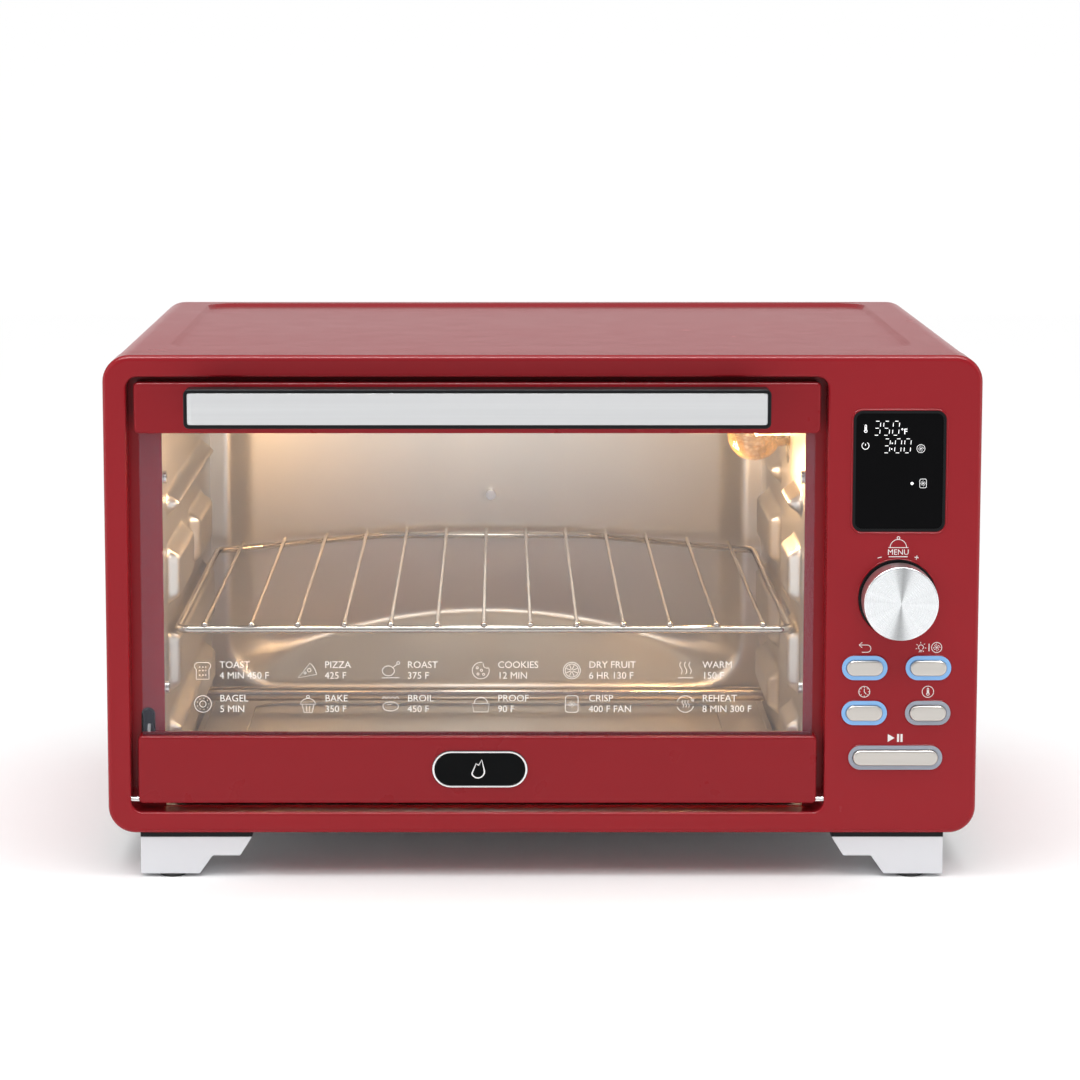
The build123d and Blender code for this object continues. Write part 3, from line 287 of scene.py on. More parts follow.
RED = (0.302, 0.0100, 0.0165)
knob_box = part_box("knob_cap")
knob_centre = tuple((knob_box[0] + knob_box[1]) / 2)
finishes = {
    "red_paint": enamel("red_enamel", RED),
    "red_rail": enamel("rail_enamel", (0.270, 0.0085, 0.0145), 0.24),
    "zinc_sheet": sheet_steel("zinc_coated_sheet", (0.60, 0.61, 0.62), 0.42, (200, 200, 3)),
    "cavity_sheet": sheet_steel("cavity_steel", (0.80, 0.775, 0.725), 0.34, (12, 900, 900), 0.92),
    "black_plastic": moulded("black_moulding", (0.004, 0.0045, 0.006), 0.34, specular=0.2),
    "hidden_plastic": moulded("white_moulding", (0.72, 0.71, 0.67)),
    "silver_feet": enamel("silver_lacquer", (0.76, 0.77, 0.80), 0.30, 0.4),
    "rubber": moulded("black_rubber", (0.018, 0.018, 0.019), 0.7, 900.0, 0.06),
    "brushed_trim": brushed("brushed_handle_steel", (0.74, 0.75, 0.76), 0.30, 0),
    "spun_aluminium": spun("spun_aluminium", (0.86, 0.88, 0.90), knob_centre),
    "bright_steel": polished("bright_steel", (0.74, 0.74, 0.74), 0.22),
    "rack_chrome": polished("rack_plating", (0.60, 0.56, 0.50), 0.10),
    "heater_sheath": polished("heater_sheath", (0.66, 0.61, 0.55), 0.22),
    "ceramic": moulded("glazed_ceramic", (0.80, 0.77, 0.70), 0.2, 300.0),
    "lamp_glass": clear_glass("lamp_glass", (0.55, 0.36, 0.16), 0.16, 0.4 * MM),
    "filament": glowing("filament", (1.0, 0.72, 0.36), 14.0),
    "door_pane": clear_glass("door_pane", (0.30, 0.32, 0.40), 0.07),
    "display_glass": gloss_black("display_glass", (0.002, 0.002, 0.0025), 0.08),
    "button_face": brushed("brushed_button_steel", (0.60, 0.575, 0.54), 0.32, 0),
    "blue_ring": glowing("blue_ring", (0.18, 0.48, 0.95), 0.42, (0.18, 0.30, 0.48)),
    "badge_finish": gloss_black("badge_black", (0.004, 0.0045, 0.005), 0.16),
    "grey_ring": moulded("grey_ring", (0.33, 0.36, 0.43), 0.35),
    "circuit_board": moulded("board_lacquer", (0.02, 0.16, 0.06), 0.3, 400.0),
}
white_ink = printed("white_ink", (0.80, 0.78, 0.77))
glass_ink = printed("glass_ink", (0.86, 0.83, 0.79))
display_light = glowing("display_light", (0.96, 0.98, 1.0), 1.0)
bright_rim = polished("badge_rim_chrome", (0.86, 0.86, 0.87), 0.18)

for node, piece in frame["nodes"].items():
    for place in piece.material_slots:
        place.material = finishes[record_slot[node]].material


# ---- modelling ----------------------------------------------------------------------------
def select_only(piece):
    bpy.ops.object.select_all(action="DESELECT")
    piece.select_set(True)
    bpy.context.view_layer.objects.active = piece


def apply_modifiers(piece):
    select_only(piece)
    for modifier in list(piece.modifiers):
        bpy.ops.object.modifier_apply(modifier=modifier.name)


def apply_place(piece):
    select_only(piece)
    bpy.ops.object.transform_apply(location=True, rotation=True, scale=True)


def round_edges(piece, width, segments=3, angle=35):
    """Rounds the edges that are sharper than an angle, and smooths the shading."""
    bevel = piece.modifiers.new("round", "BEVEL")
    bevel.width = width
    bevel.segments = segments
    bevel.limit_method = "ANGLE"
    bevel.angle_limit = math.radians(angle)
    apply_modifiers(piece)
    smooth(piece)
    even = piece.modifiers.new("even", "WEIGHTED_NORMAL")
    even.keep_sharp = True
    even.weight = 90
    apply_modifiers(piece)


def smooth(piece, angle=40):
    select_only(piece)
    bpy.ops.object.shade_smooth_by_angle(angle=math.radians(angle))


def finish_piece(piece, name, finish, node, replaces=False):
    """Names a piece, gives it its finish, and hangs it on the body of a CAD node, hiding the node if the
    piece replaces it.
    """
    piece.name = name
    piece.data.name = name
    piece.data.materials.clear()
    piece.data.materials.append(finish.material)
    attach(piece, body_of[node])
    if replaces:
        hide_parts(node)
    return piece


def softened(node, width, segments=3, name=None):
    """A copy of a CAD node with its edges rounded off, which stands for it."""
    source = frame["nodes"][node]
    piece = source.copy()
    piece.data = source.data.copy()
    piece.parent = None
    bpy.context.scene.collection.objects.link(piece)
    select_only(piece)
    bpy.ops.mesh.customdata_custom_splitnormals_clear()
    bpy.ops.object.mode_set(mode="EDIT")
    bpy.ops.mesh.select_all(action="SELECT")
    bpy.ops.mesh.remove_doubles(threshold=0.002 * MM)
    bpy.ops.mesh.dissolve_limited(angle_limit=math.radians(1.5))
    bpy.ops.object.mode_set(mode="OBJECT")
    round_edges(piece, width, segments)
    return finish_piece(piece, name or f"{node}_pressed", finishes[record_slot[node]], node, True)


def join(pieces):
    """Several meshes as one."""
    select_only(pieces[0])
    for piece in pieces[1:]:
        piece.select_set(True)
    bpy.ops.object.join()
    return pieces[0]


# ---- drawn marks --------------------------------------------------------------------------
def arc(x, y, radius, start, end, steps=14, tall=1.0):
    """Points along an arc, in degrees."""
    turn = [math.radians(start + (end - start) * n / steps) for n in range(steps + 1)]
    return [(x + radius * math.cos(a), y + tall * radius * math.sin(a)) for a in turn]


def circle(x, y, radius, tall=1.0):
    return arc(x, y, radius, 0, 360, 24, tall)


def wave(x, low, high, swing):
    """A short vertical wave, as steam is drawn."""
    steps = 10
    ys = [low + (high - low) * n / steps for n in range(steps + 1)]
    return [(x + swing * math.sin(math.tau * (y - low) / (high - low)), y) for y in ys]


def spokes(x, y, inner, outer, count, start=0.0):
    made = []
    for n in range(count):
        a = math.radians(start + 360 * n / count)
        made.append([(x + r * math.cos(a), y + r * math.sin(a)) for r in (inner, outer)])
    return made


def blades(x, y, radius, count):
    """Curved fan blades."""
    made = []
    for n in range(count):
        a = math.radians(360 * n / count)
        side = a + math.radians(50)
        tip = (x + radius * math.cos(a), y + radius * math.sin(a))
        bulge = (x + 0.75 * radius * math.cos(side), y + 0.75 * radius * math.sin(side))
        made.append([(x, y), tip, bulge, (x, y)])
    return made


def pill(x, y, width, height):
    """An outline with half-round ends."""
    reach = (width - height) / 2
    return arc(x + reach, y, height / 2, -90, 90) + arc(x - reach, y, height / 2, 90, 270) + [
        (x + reach, y - height / 2)]


def rounded_outline(x, y, width, height, radius):
    points = []
    for side, top, start in ((1, 1, 0), (-1, 1, 90), (-1, -1, 180), (1, -1, 270)):
        corner = (x + side * (width / 2 - radius), y + top * (height / 2 - radius))
        points += arc(*corner, radius, start, start + 90, 8)
    return points + points[:1]


MARKS = {
    "return": [
        [(-0.5, 0.22), (0.2, 0.22)] + arc(0.2, -0.1, 0.32, 90, -90) + [(-0.25, -0.42)],
        [(-0.24, 0.46), (-0.5, 0.22), (-0.24, -0.02)],
    ],
    "lamp": [
        arc(0, 0.02, 0.24, -55, 235),
        [(-0.12, -0.28), (0.12, -0.28)],
        [(-0.09, -0.42), (0.09, -0.42)],
        *spokes(0, 0.02, 0.38, 0.52, 7, -60),
    ],
    "bar": [[(0, -0.4), (0, 0.4)]],
    "fan": [circle(0, 0, 0.46), *blades(0, 0, 0.34, 4)],
    "clock": [circle(0, 0, 0.48), *spokes(0, 0, 0.34, 0.42, 8), [(0, 0.26), (0, 0), (0.16, -0.2)]],
    "thermometer": [
        circle(0, 0, 0.5),
        arc(0, -0.2, 0.12, -235, 55) + [(0.06, 0.26)] + arc(0, 0.26, 0.06, 0, 180, 6) + [(-0.07, -0.1)],
        [(0, -0.2), (0, 0.12)],
    ],
    "dome": [arc(0, -0.3, 0.5, 0, 180), [(-0.6, -0.3), (0.6, -0.3)], circle(0, 0.29, 0.08)],
    "minus": [[(-0.4, -0.1), (0.4, 0.1)]],
    "plus": [[(-0.4, 0.08), (0.4, -0.08)], [(-0.08, -0.4), (0.08, 0.4)]],
    "toast": [
        [(-0.36, -0.5), (0.36, -0.5), (0.36, 0.08)] + arc(0.26, 0.26, 0.2, -30, 100, 8)
        + [(-0.26, 0.46)] + arc(-0.26, 0.26, 0.2, 100, 210, 8) + [(-0.36, 0.08), (-0.36, -0.5)],
        *[circle(x, y, 0.02) for x in (-0.16, 0.02, 0.18) for y in (-0.26, 0.0, 0.2)],
    ],
    "slice": [
        [(-0.55, -0.42), (0.12, 0.42)] + arc(-0.5, -0.36, 1.0, 52, 8, 8) + [(-0.55, -0.42)],
        circle(0.08, 0.02, 0.1),
        circle(-0.16, -0.14, 0.06),
    ],
    "drumstick": [
        circle(-0.12, -0.02, 0.34, 0.85),
        [(0.14, 0.18), (0.38, 0.36)],
        circle(0.44, 0.44, 0.08),
        [(-0.5, -0.42), (0.5, -0.42)],
    ],
    "cookie": [
        arc(0, 0, 0.48, 80, 370, 26) + arc(0.34, 0.34, 0.2, -60, -200, 8),
        *[circle(x, y, 0.06) for x, y in ((-0.2, 0.16), (-0.16, -0.2), (0.16, -0.22), (0.04, 0.02))],
    ],
    "citrus": [circle(0, 0, 0.48), circle(0, 0, 0.38), *spokes(0, 0, 0.06, 0.34, 8, 22)],
    "steam": [wave(x, -0.2, 0.5, 0.07) for x in (-0.26, 0, 0.26)] + [[(-0.42, -0.42), (0.42, -0.42)]],
    "ring_roll": [circle(0, 0, 0.48), circle(0, 0, 0.18), *spokes(0, 0, 0.3, 0.36, 9)],
    "cupcake": [
        [(-0.34, -0.04), (-0.22, -0.5), (0.22, -0.5), (0.34, -0.04)],
        arc(0, -0.02, 0.42, 0, 180, 14, 0.8) + [(0.42, -0.02)],
        circle(0, 0.42, 0.08),
        [(-0.1, -0.1), (-0.07, -0.44)],
        [(0.1, -0.1), (0.07, -0.44)],
    ],
    "grill": [
        [(-0.48 + 0.12 * n, 0.44 if n % 2 else 0.3) for n in range(9)],
        circle(0, -0.14, 0.44, 0.6),
        [(-0.2, -0.06), (0.1, 0.0)],
    ],
    "bowl": [
        [(-0.48, 0.02), (0.48, 0.02), (0.4, -0.46), (-0.4, -0.46), (-0.48, 0.02)],
        arc(0, 0.04, 0.38, 0, 180, 12, 0.9),
    ],
    "basket": [
        rounded_outline(0, 0, 0.72, 0.96, 0.16),
        [(-0.36, -0.06), (0.36, -0.06)],
        *blades(0, 0.0, 0.2, 4),
    ],
    "again": [
        arc(0, 0, 0.48, 20, 165),
        arc(0, 0, 0.48, 200, 345),
        [(0.5, 0.32), (0.45, 0.14), (0.3, 0.26)],
        *[wave(x, -0.2, 0.22, 0.05) for x in (-0.14, 0.02, 0.18)],
    ],
}


def drawn(strokes, at, size, line, depth=0.1 * MM):
    """Line work standing upright and facing the front, at (x, y, z), as a thin raised mesh."""
    curve = bpy.data.curves.new("drawn", "CURVE")
    curve.dimensions = "3D"
    curve.bevel_depth = line / 2
    curve.bevel_resolution = 1
    curve.use_fill_caps = True
    for stroke in strokes:
        closed = math.dist(stroke[0], stroke[-1]) < 1e-6
        points = stroke[:-1] if closed else stroke
        spline = curve.splines.new("POLY")
        spline.points.add(len(points) - 1)
        for point, (x, y) in zip(spline.points, points):
            point.co = (x * size, 0, y * size, 1)
        spline.use_cyclic_u = closed
    piece = bpy.data.objects.new("drawn", curve)
    bpy.context.scene.collection.objects.link(piece)
    select_only(piece)
    bpy.ops.object.convert(target="MESH")
    piece = bpy.context.object
    piece.scale = (1, depth / line, 1)
    piece.location = at
    apply_place(piece)
    return piece


def filled(outline, at, size, depth=0.1 * MM):
    """A solid mark from an outline, facing the front."""
    curve = bpy.data.curves.new("filled", "CURVE")
    curve.dimensions = "2D"
    curve.fill_mode = "BOTH"
    curve.extrude = depth / 2
    spline = curve.splines.new("POLY")
    spline.points.add(len(outline) - 1)
    for point, (x, y) in zip(spline.points, outline):
        point.co = (x * size, y * size, 0, 1)
    spline.use_cyclic_u = True
    piece = bpy.data.objects.new("filled", curve)
    bpy.context.scene.collection.objects.link(piece)
    select_only(piece)
    bpy.ops.object.convert(target="MESH")
    piece = bpy.context.object
    piece.rotation_euler = (math.pi / 2, 0, 0)
    piece.location = at
    apply_place(piece)
    return piece


def lettered(words, at, height, align="LEFT", depth=0.1 * MM):
    """Plain capitals facing the front; height is that of the capitals."""
    bpy.ops.object.select_all(action="DESELECT")
    bpy.ops.object.text_add()
    piece = bpy.context.object
    piece.data.body = words
    piece.data.size = height / 0.69
    piece.data.align_x = align
    piece.data.align_y = "CENTER"
    piece.data.extrude = depth / 2
    piece.data.resolution_u = 3
    bpy.ops.object.convert(target="MESH")
    piece = bpy.context.object
    piece.rotation_euler = (math.pi / 2, 0, 0)
    piece.location = at
    apply_place(piece)
    return piece


def middle(node):
    low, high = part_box(node)
    return (low + high) / 2


# ---- pressed and moulded pieces that keep their CAD shape with softer edges ----------------
for node, width, segments in (
    ("front_panel", 0.7 * MM, 3),
    ("outer_shell", 0.3 * MM, 2),
    ("crumb_tray", 0.2 * MM, 2),
    ("door_top_rail", 0.5 * MM, 3),
    ("door_bottom_rail", 0.5 * MM, 3),
    ("hinge_pins", 0.6 * MM, 3),
    ("back_button", 0.7 * MM, 3),
    ("light_button", 0.7 * MM, 3),
    ("time_button", 0.7 * MM, 3),
    ("temperature_button", 0.7 * MM, 3),
    ("start_button", 0.7 * MM, 3),
    ("feet", 0.9 * MM, 4),
    ("badge", 0.12 * MM, 2),
):
    softened(node, width, segments)


# ---- rear wall of the cavity --------------------------------------------------------------
def soft_least(a, b, reach):
    """The smaller of two values, with the change between them rounded over reach."""
    share = max(reach - abs(a - b), 0.0) / reach
    return min(a, b) - share * share * reach / 4


def bulge_depth(across, height):
    """How far the rear wall is pressed back, in millimetres, at a place on it."""
    half_chord, shoulder, deepest = 148.5, 12.0, 53.5
    rise = deepest - shoulder
    radius = (half_chord**2 + rise**2) / (2 * rise)
    reach = min(abs(across), half_chord + 20)
    arched = deepest - radius + math.sqrt(radius**2 - reach**2)
    sides = 1.5 * (156.5 - abs(across))
    below = (height - 41.0) / 0.65
    above = (240.0 - height) / 0.65
    rim = soft_least(soft_least(sides, below, 48.0), above, 48.0)
    deep = soft_least(arched, rim, 6.0)
    return -soft_least(-deep, 0.0, 5.0)


def rear_wall():
    low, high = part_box("back_liner")
    middle_x = (low.x + high.x) / 2
    bpy.ops.object.select_all(action="DESELECT")
    bpy.ops.mesh.primitive_grid_add(x_subdivisions=230, y_subdivisions=150, size=1)
    piece = bpy.context.object
    for vertex in piece.data.vertices:
        x = middle_x + vertex.co.x * (high.x - low.x)
        z = (low.z + high.z) / 2 + vertex.co.y * (high.z - low.z)
        y = low.y + bulge_depth((x - middle_x) / MM, z / MM) * MM
        vertex.co = (x, y, z)
    thick = piece.modifiers.new("sheet", "SOLIDIFY")
    thick.thickness = 0.7 * MM
    thick.offset = -1
    apply_modifiers(piece)
    smooth(piece, 60)
    finish_piece(piece, "rear_wall_pressing", finishes["cavity_sheet"], "back_liner", True)


rear_wall()


# ---- side walls of the cavity, with their pressed ledges -----------------------------------
# Ledges in millimetres: height of the top, height of the ledge, and its stretches of depth from the front.
FULL, FRONT_PART, REAR_PART = (33.0, 247.0), (33.0, 119.5), (156.0, 236.0)
SHORT_PART, BEHIND_FAN = (33.0, 82.0), (156.0, 247.0)
LEDGE_ROWS = ((198.0, 9.0), (169.0, 28.0), (125.2, 32.0), (77.0, 22.0))
LEFT_RUNS = ((FULL,), (FRONT_PART, REAR_PART), (FULL,), (FULL,))
RIGHT_RUNS = ((SHORT_PART, BEHIND_FAN),) * len(LEDGE_ROWS)


def eased(share):
    share = min(max(share, 0.0), 1.0)
    return share * share * (3 - 2 * share)


def ledge_height(depth, height, runs):
    """How far the wall stands in at a place, in millimetres."""
    most, draft, corner = 6.9, 7.5, 7.0
    reach = 0.0
    for (top, tall), stretches in zip(LEDGE_ROWS, runs):
        for start, end in stretches:
            across = abs(depth - (start + end) / 2) - (end - start) / 2 - 3.0
            along = abs(height - (top - tall / 2)) - tall / 2 - 3.0
            outside = math.hypot(max(across + corner, 0.0), max(along + corner, 0.0))
            inside = corner - outside - min(max(across + corner, along + corner), 0.0)
            reach = max(reach, eased(inside / draft))
    return most * reach


def hole_cutters(holes, x):
    """Cylinders along X at (y, z, radius), for cutting."""
    cutters = []
    for y, z, radius in holes:
        bpy.ops.object.select_all(action="DESELECT")
        place = {"location": (x, y, z), "rotation": (0, math.pi / 2, 0)}
        bpy.ops.mesh.primitive_cylinder_add(vertices=16, radius=radius, depth=6 * MM, **place)
        cutters.append(bpy.context.object)
    return join(cutters)


def side_wall(node, runs, holes=()):
    low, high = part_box(node)
    left = node == "left_liner"
    wall = low.x + 0.8 * MM if left else high.x - 0.8 * MM
    inward = 1 if left else -1
    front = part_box("front_panel")[0].y
    bpy.ops.object.select_all(action="DESELECT")
    bpy.ops.mesh.primitive_grid_add(x_subdivisions=200, y_subdivisions=154, size=1)
    piece = bpy.context.object
    for vertex in piece.data.vertices:
        y = (low.y + high.y) / 2 + inward * vertex.co.x * (high.y - low.y)
        z = (low.z + high.z) / 2 + vertex.co.y * (high.z - low.z)
        out = ledge_height((y - front) / MM, z / MM, runs) * MM
        vertex.co = (wall + inward * out, y, z)
    thick = piece.modifiers.new("sheet", "SOLIDIFY")
    thick.thickness = 0.7 * MM
    thick.offset = -1
    apply_modifiers(piece)
    if holes:
        cutter = hole_cutters(holes, wall)
        cut = piece.modifiers.new("holes", "BOOLEAN")
        cut.object = cutter
        cut.operation = "DIFFERENCE"
        apply_modifiers(piece)
        bpy.data.objects.remove(cutter)
    smooth(piece, 60)
    side = "left" if left else "right"
    finish_piece(piece, f"{side}_wall_pressing", finishes["cavity_sheet"], node, True)


def right_wall_holes():
    """The fan's perforations, and the lamp's hole."""
    fan, lamp = middle("fan_shaft"), middle("lamp_bulb")
    pitch, radius = 8 * MM, 2 * MM
    vents = [
        (fan.y + (column - 2.5) * pitch, fan.z + (row - 4.5) * pitch, radius)
        for column in range(6) for row in range(10)
    ]
    return vents + [(lamp.y, lamp.z, 16.5 * MM)]


side_wall("left_liner", LEFT_RUNS)
side_wall("right_liner", RIGHT_RUNS, right_wall_holes())


# ---- handle -------------------------------------------------------------------------------
def handle():
    low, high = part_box("handle_trim")
    bpy.ops.object.select_all(action="DESELECT")
    bpy.ops.mesh.primitive_cube_add(size=1, location=(low + high) / 2)
    piece = bpy.context.object
    piece.scale = (high.x - low.x - 0.2 * MM, high.y - low.y, high.z - low.z - 0.2 * MM)
    apply_place(piece)
    ends = 2.2 * MM
    bpy.ops.object.mode_set(mode="EDIT")
    for side in (low.x + 2.4 * MM, high.x - 2.4 * MM):
        bpy.ops.mesh.select_all(action="SELECT")
        bpy.ops.mesh.bisect(plane_co=(side, 0, 0), plane_no=(1, 0, 0))
    bpy.ops.mesh.select_all(action="DESELECT")
    bpy.ops.object.mode_set(mode="OBJECT")
    for vertex in piece.data.vertices:
        outer = min(abs(vertex.co.x - low.x), abs(vertex.co.x - high.x)) < ends / 2
        if outer and vertex.co.y < (low.y + high.y) / 2:
            vertex.co.y += 0.55 * MM
    round_edges(piece, 0.22 * MM, 3, 12)
    finish_piece(piece, "handle_insert", finishes["brushed_trim"], "handle_trim", True)


handle()


# ---- rack ---------------------------------------------------------------------------------
def rack_welds():
    """The bead where each wire's front end is welded over the bar."""
    low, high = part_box("wire_rack")
    wires, pitch = 13, 24.6 * MM
    beads = []
    bpy.ops.object.select_all(action="DESELECT")
    bpy.ops.mesh.primitive_uv_sphere_add(segments=20, ring_count=12, radius=1.75 * MM)
    first = bpy.context.object
    for n in range(wires):
        bead = first.copy()
        bead.data = first.data.copy()
        bpy.context.scene.collection.objects.link(bead)
        x = (low.x + high.x) / 2 + (n - (wires - 1) / 2) * pitch
        bead.location = (x, low.y + 1.9 * MM, high.z - 1.2 * MM)
        bead.scale = (1, 1.15, 0.95)
        apply_place(bead)
        beads.append(bead)
    bpy.data.objects.remove(first)
    piece = join(beads)
    smooth(piece, 80)
    finish_piece(piece, "rack_weld_beads", finishes["rack_chrome"], "wire_rack")


rack_welds()


# ---- marks on the control panel -----------------------------------------------------------
panel_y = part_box("front_panel")[0].y
PANEL_LINE = 0.40 * MM


def above_button(node, rise):
    spot = middle(node)
    return spot.x, panel_y, spot.z + rise * MM


def panel_marks():
    icon = 6.0 * MM
    x, y, z = above_button("light_button", 10.8)
    marks = [
        drawn(MARKS["return"], above_button("back_button", 10.8), icon, PANEL_LINE),
        drawn(MARKS["lamp"], (x - 4.0 * MM, y, z), 5.4 * MM, PANEL_LINE),
        drawn(MARKS["bar"], (x + 0.2 * MM, y, z), 5.0 * MM, 0.5 * MM),
        drawn(MARKS["fan"], (x + 4.2 * MM, y, z), 5.8 * MM, PANEL_LINE),
        drawn(MARKS["clock"], above_button("time_button", 11.2), icon, PANEL_LINE),
        drawn(MARKS["thermometer"], above_button("temperature_button", 11.2), icon, PANEL_LINE),
    ]
    x, y, z = above_button("start_button", 10.4)
    tall = 4.2
    marks.append(filled([(-0.5, -0.5), (0.35, 0), (-0.5, 0.5)], (x - 1.9 * MM, y, z), tall * MM))
    for gap in (1.4, 3.2):
        bar = [(-0.13, -0.5), (0.13, -0.5), (0.13, 0.5), (-0.13, 0.5)]
        marks.append(filled(bar, (x + gap * MM, y, z), tall * MM))
    x, z = knob_centre[0], knob_box[1].z
    marks += [
        drawn(MARKS["dome"], (x, panel_y, z + 10.0 * MM), 8.6 * MM, PANEL_LINE),
        drawn([[(-0.5, 0), (0.5, 0)]], (x, panel_y, z + 2.6 * MM), 9.8 * MM, 0.55 * MM),
        lettered("MENU", (x, panel_y, z + 4.9 * MM), 2.8 * MM, "CENTER"),
        drawn(MARKS["minus"], (x - 9.6 * MM, panel_y, z + 2.2 * MM), 2.6 * MM, 0.5 * MM),
        drawn(MARKS["plus"], (x + 9.6 * MM, panel_y, z + 2.2 * MM), 2.6 * MM, 0.5 * MM),
    ]
    piece = finish_piece(join(marks), "panel_marks", white_ink, "front_panel")


panel_marks()


def panel_lips():
    """The rolled edge of the panel round each of its openings."""
    # How much larger than its button, the display's window or the dial's bezel each lip is, in millimetres.
    past_button, past_window, inside_bezel = 2.6, 4.2, 1.5
    window_corner = 5.6
    edges = []
    for node in ("back_button", "light_button", "time_button", "temperature_button", "start_button"):
        low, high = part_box(node)
        width, height = (high.x - low.x) / MM + past_button, (high.z - low.z) / MM + past_button
        edges.append((pill(0, 0, width, height), middle(node)))
    low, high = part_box("display_window")
    width, height = (high.x - low.x) / MM + past_window, (high.z - low.z) / MM + past_window
    edges.append((rounded_outline(0, 0, width, height, window_corner), (low + high) / 2))
    low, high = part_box("knob_bezel")
    rim = (high.x - low.x) / 2 / MM - inside_bezel
    edges.append((circle(0, 0, rim), Vector(knob_centre)))
    lips = [drawn([edge], (at.x, panel_y, at.z), MM, 0.9 * MM, 1.0 * MM) for edge, at in edges]
    piece = join(lips)
    smooth(piece, 60)
    finish_piece(piece, "panel_lips", finishes["red_paint"], "front_panel")


panel_lips()


# ---- painted shade: seam line and tray lip ------------------------------------------------
def seam_shade_line():
    """Painted shade: a dark rubber line where the wrap meets the front panel's turned edge, standing for
    the shade in the gap there.
    """
    low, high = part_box("outer_shell")
    width, height = (high.x - low.x) / MM, (high.z - low.z) / MM
    spot = ((low.x + high.x) / 2, panel_y + 13 * MM, (low.z + high.z) / 2)
    casing_corner = 13.7
    piece = drawn([rounded_outline(0, 0, width, height, casing_corner)], spot, MM, 0.6 * MM, 1.8 * MM)
    smooth(piece, 60)
    finish_piece(piece, "seam_shade_line", finishes["rubber"], "outer_shell")


def tray_lip():
    """The crumb tray's red front lip, with a bead along its top, low enough to pass under the door. It is a
    sheet put in the gap below the door to shade it, keeping the cavity's light out of that gap.
    """
    low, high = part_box("crumb_tray")
    thick, bead = 0.8 * MM, 1.4 * MM
    bottom, top = low.z + 0.2 * MM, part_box("door_bottom_rail")[0].z - 0.5 * MM
    parts = []
    for deep, from_z in ((thick, bottom), (bead, top - bead)):
        bpy.ops.object.select_all(action="DESELECT")
        centre = ((low.x + high.x) / 2, low.y - deep / 2, (from_z + top) / 2)
        bpy.ops.mesh.primitive_cube_add(size=1, location=centre)
        part = bpy.context.object
        part.scale = (high.x - low.x - 4 * MM, deep, top - from_z)
        apply_place(part)
        round_edges(part, 0.35 * MM, 3)
        parts.append(part)
    finish_piece(join(parts), "tray_lip", finishes["red_rail"], "crumb_tray")


seam_shade_line()
tray_lip()


# ---- figures on the display ---------------------------------------------------------------
SEGMENTS = {
    "a": [(0.10, 1), (0.34, 1)],
    "b": [(0.44, 0.89), (0.44, 0.61)],
    "c": [(0.44, 0.39), (0.44, 0.11)],
    "d": [(0.10, 0), (0.34, 0)],
    "e": [(0, 0.11), (0, 0.39)],
    "f": [(0, 0.61), (0, 0.89)],
    "g": [(0.10, 0.5), (0.34, 0.5)],
}
FIGURES = {"3": "abgcd", "5": "afgcd", "0": "abcdef"}
LEAN = 0.08


def figures(text, at, height, pitch):
    """Seven-segment figures from their lower left corner, leaning a little."""
    strokes = []
    for n, figure in enumerate(text):
        for segment in FIGURES[figure]:
            strokes.append([(x + LEAN * y + n * pitch, y) for x, y in SEGMENTS[segment]])
    return drawn(strokes, at, height, 0.36 * MM)


def display_marks():
    low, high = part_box("display_window")
    y = low.y - 0.05 * MM
    left, top = low.x, high.z
    line = 0.2 * MM
    fan_in_frame = [rounded_outline(0, 0, 0.72, 0.96, 0.16), *blades(0, 0, 0.3, 4)]

    def spot(across, down):
        return left + across * MM, y, top - down * MM

    marks = [
        figures("350", spot(8.9, 11.4), 7.3 * MM, 0.67),
        figures("3", spot(14.0, 20.6), 7.3 * MM, 0.67),
        figures("00", spot(19.9, 20.6), 7.3 * MM, 0.67),
        *[filled(circle(0, 0, 0.5), spot(18.5 + 0.2 * n, 18.6 - 3.0 * n), 0.7 * MM) for n in (0, 1)],
        lettered("F", spot(24.6, 9.6), 2.9 * MM),
        drawn([circle(0, 0, 0.5)], spot(23.8, 8.3), 0.8 * MM, 0.25 * MM),
        drawn(MARKS["thermometer"][1:], spot(4.9, 8.0), 6.2 * MM, 0.35 * MM),
        drawn([arc(0, 0, 0.5, 120, 420), [(0, 0.28), (0, 0)]], spot(4.9, 16.9), 3.7 * MM, 0.32 * MM),
        drawn(MARKS["fan"], spot(33.6, 18.4), 4.6 * MM, line),
        filled(circle(0, 0, 0.5), spot(29.3, 36.6), 1.5 * MM),
        drawn(fan_in_frame, spot(35.0, 36.6), 4.8 * MM, line),
    ]
    piece = finish_piece(join(marks), "display_figures", display_light, "display_window")


display_marks()


# ---- marks on the door's glass ------------------------------------------------------------
# Each programme's mark and word, and how far right of the door's middle its column starts, in millimetres.
COLUMNS = (-143.6, -88.6, -45.4, 1.8, 49.4, 108.8)
UPPER = (
    ("toast", "TOAST", "4 MIN 450 F"), ("slice", "PIZZA", "425 F"), ("drumstick", "ROAST", "375 F"),
    ("cookie", "COOKIES", "12 MIN"), ("citrus", "DRY FRUIT", "6 HR 130 F"), ("steam", "WARM", "150 F"),
)
LOWER = (
    ("ring_roll", "BAGEL", "5 MIN"), ("cupcake", "BAKE", "350 F"), ("grill", "BROIL", "450 F"),
    ("bowl", "PROOF", "90 F"), ("basket", "CRISP", "400 F FAN"), ("again", "REHEAT", "8 MIN 300 F"),
)


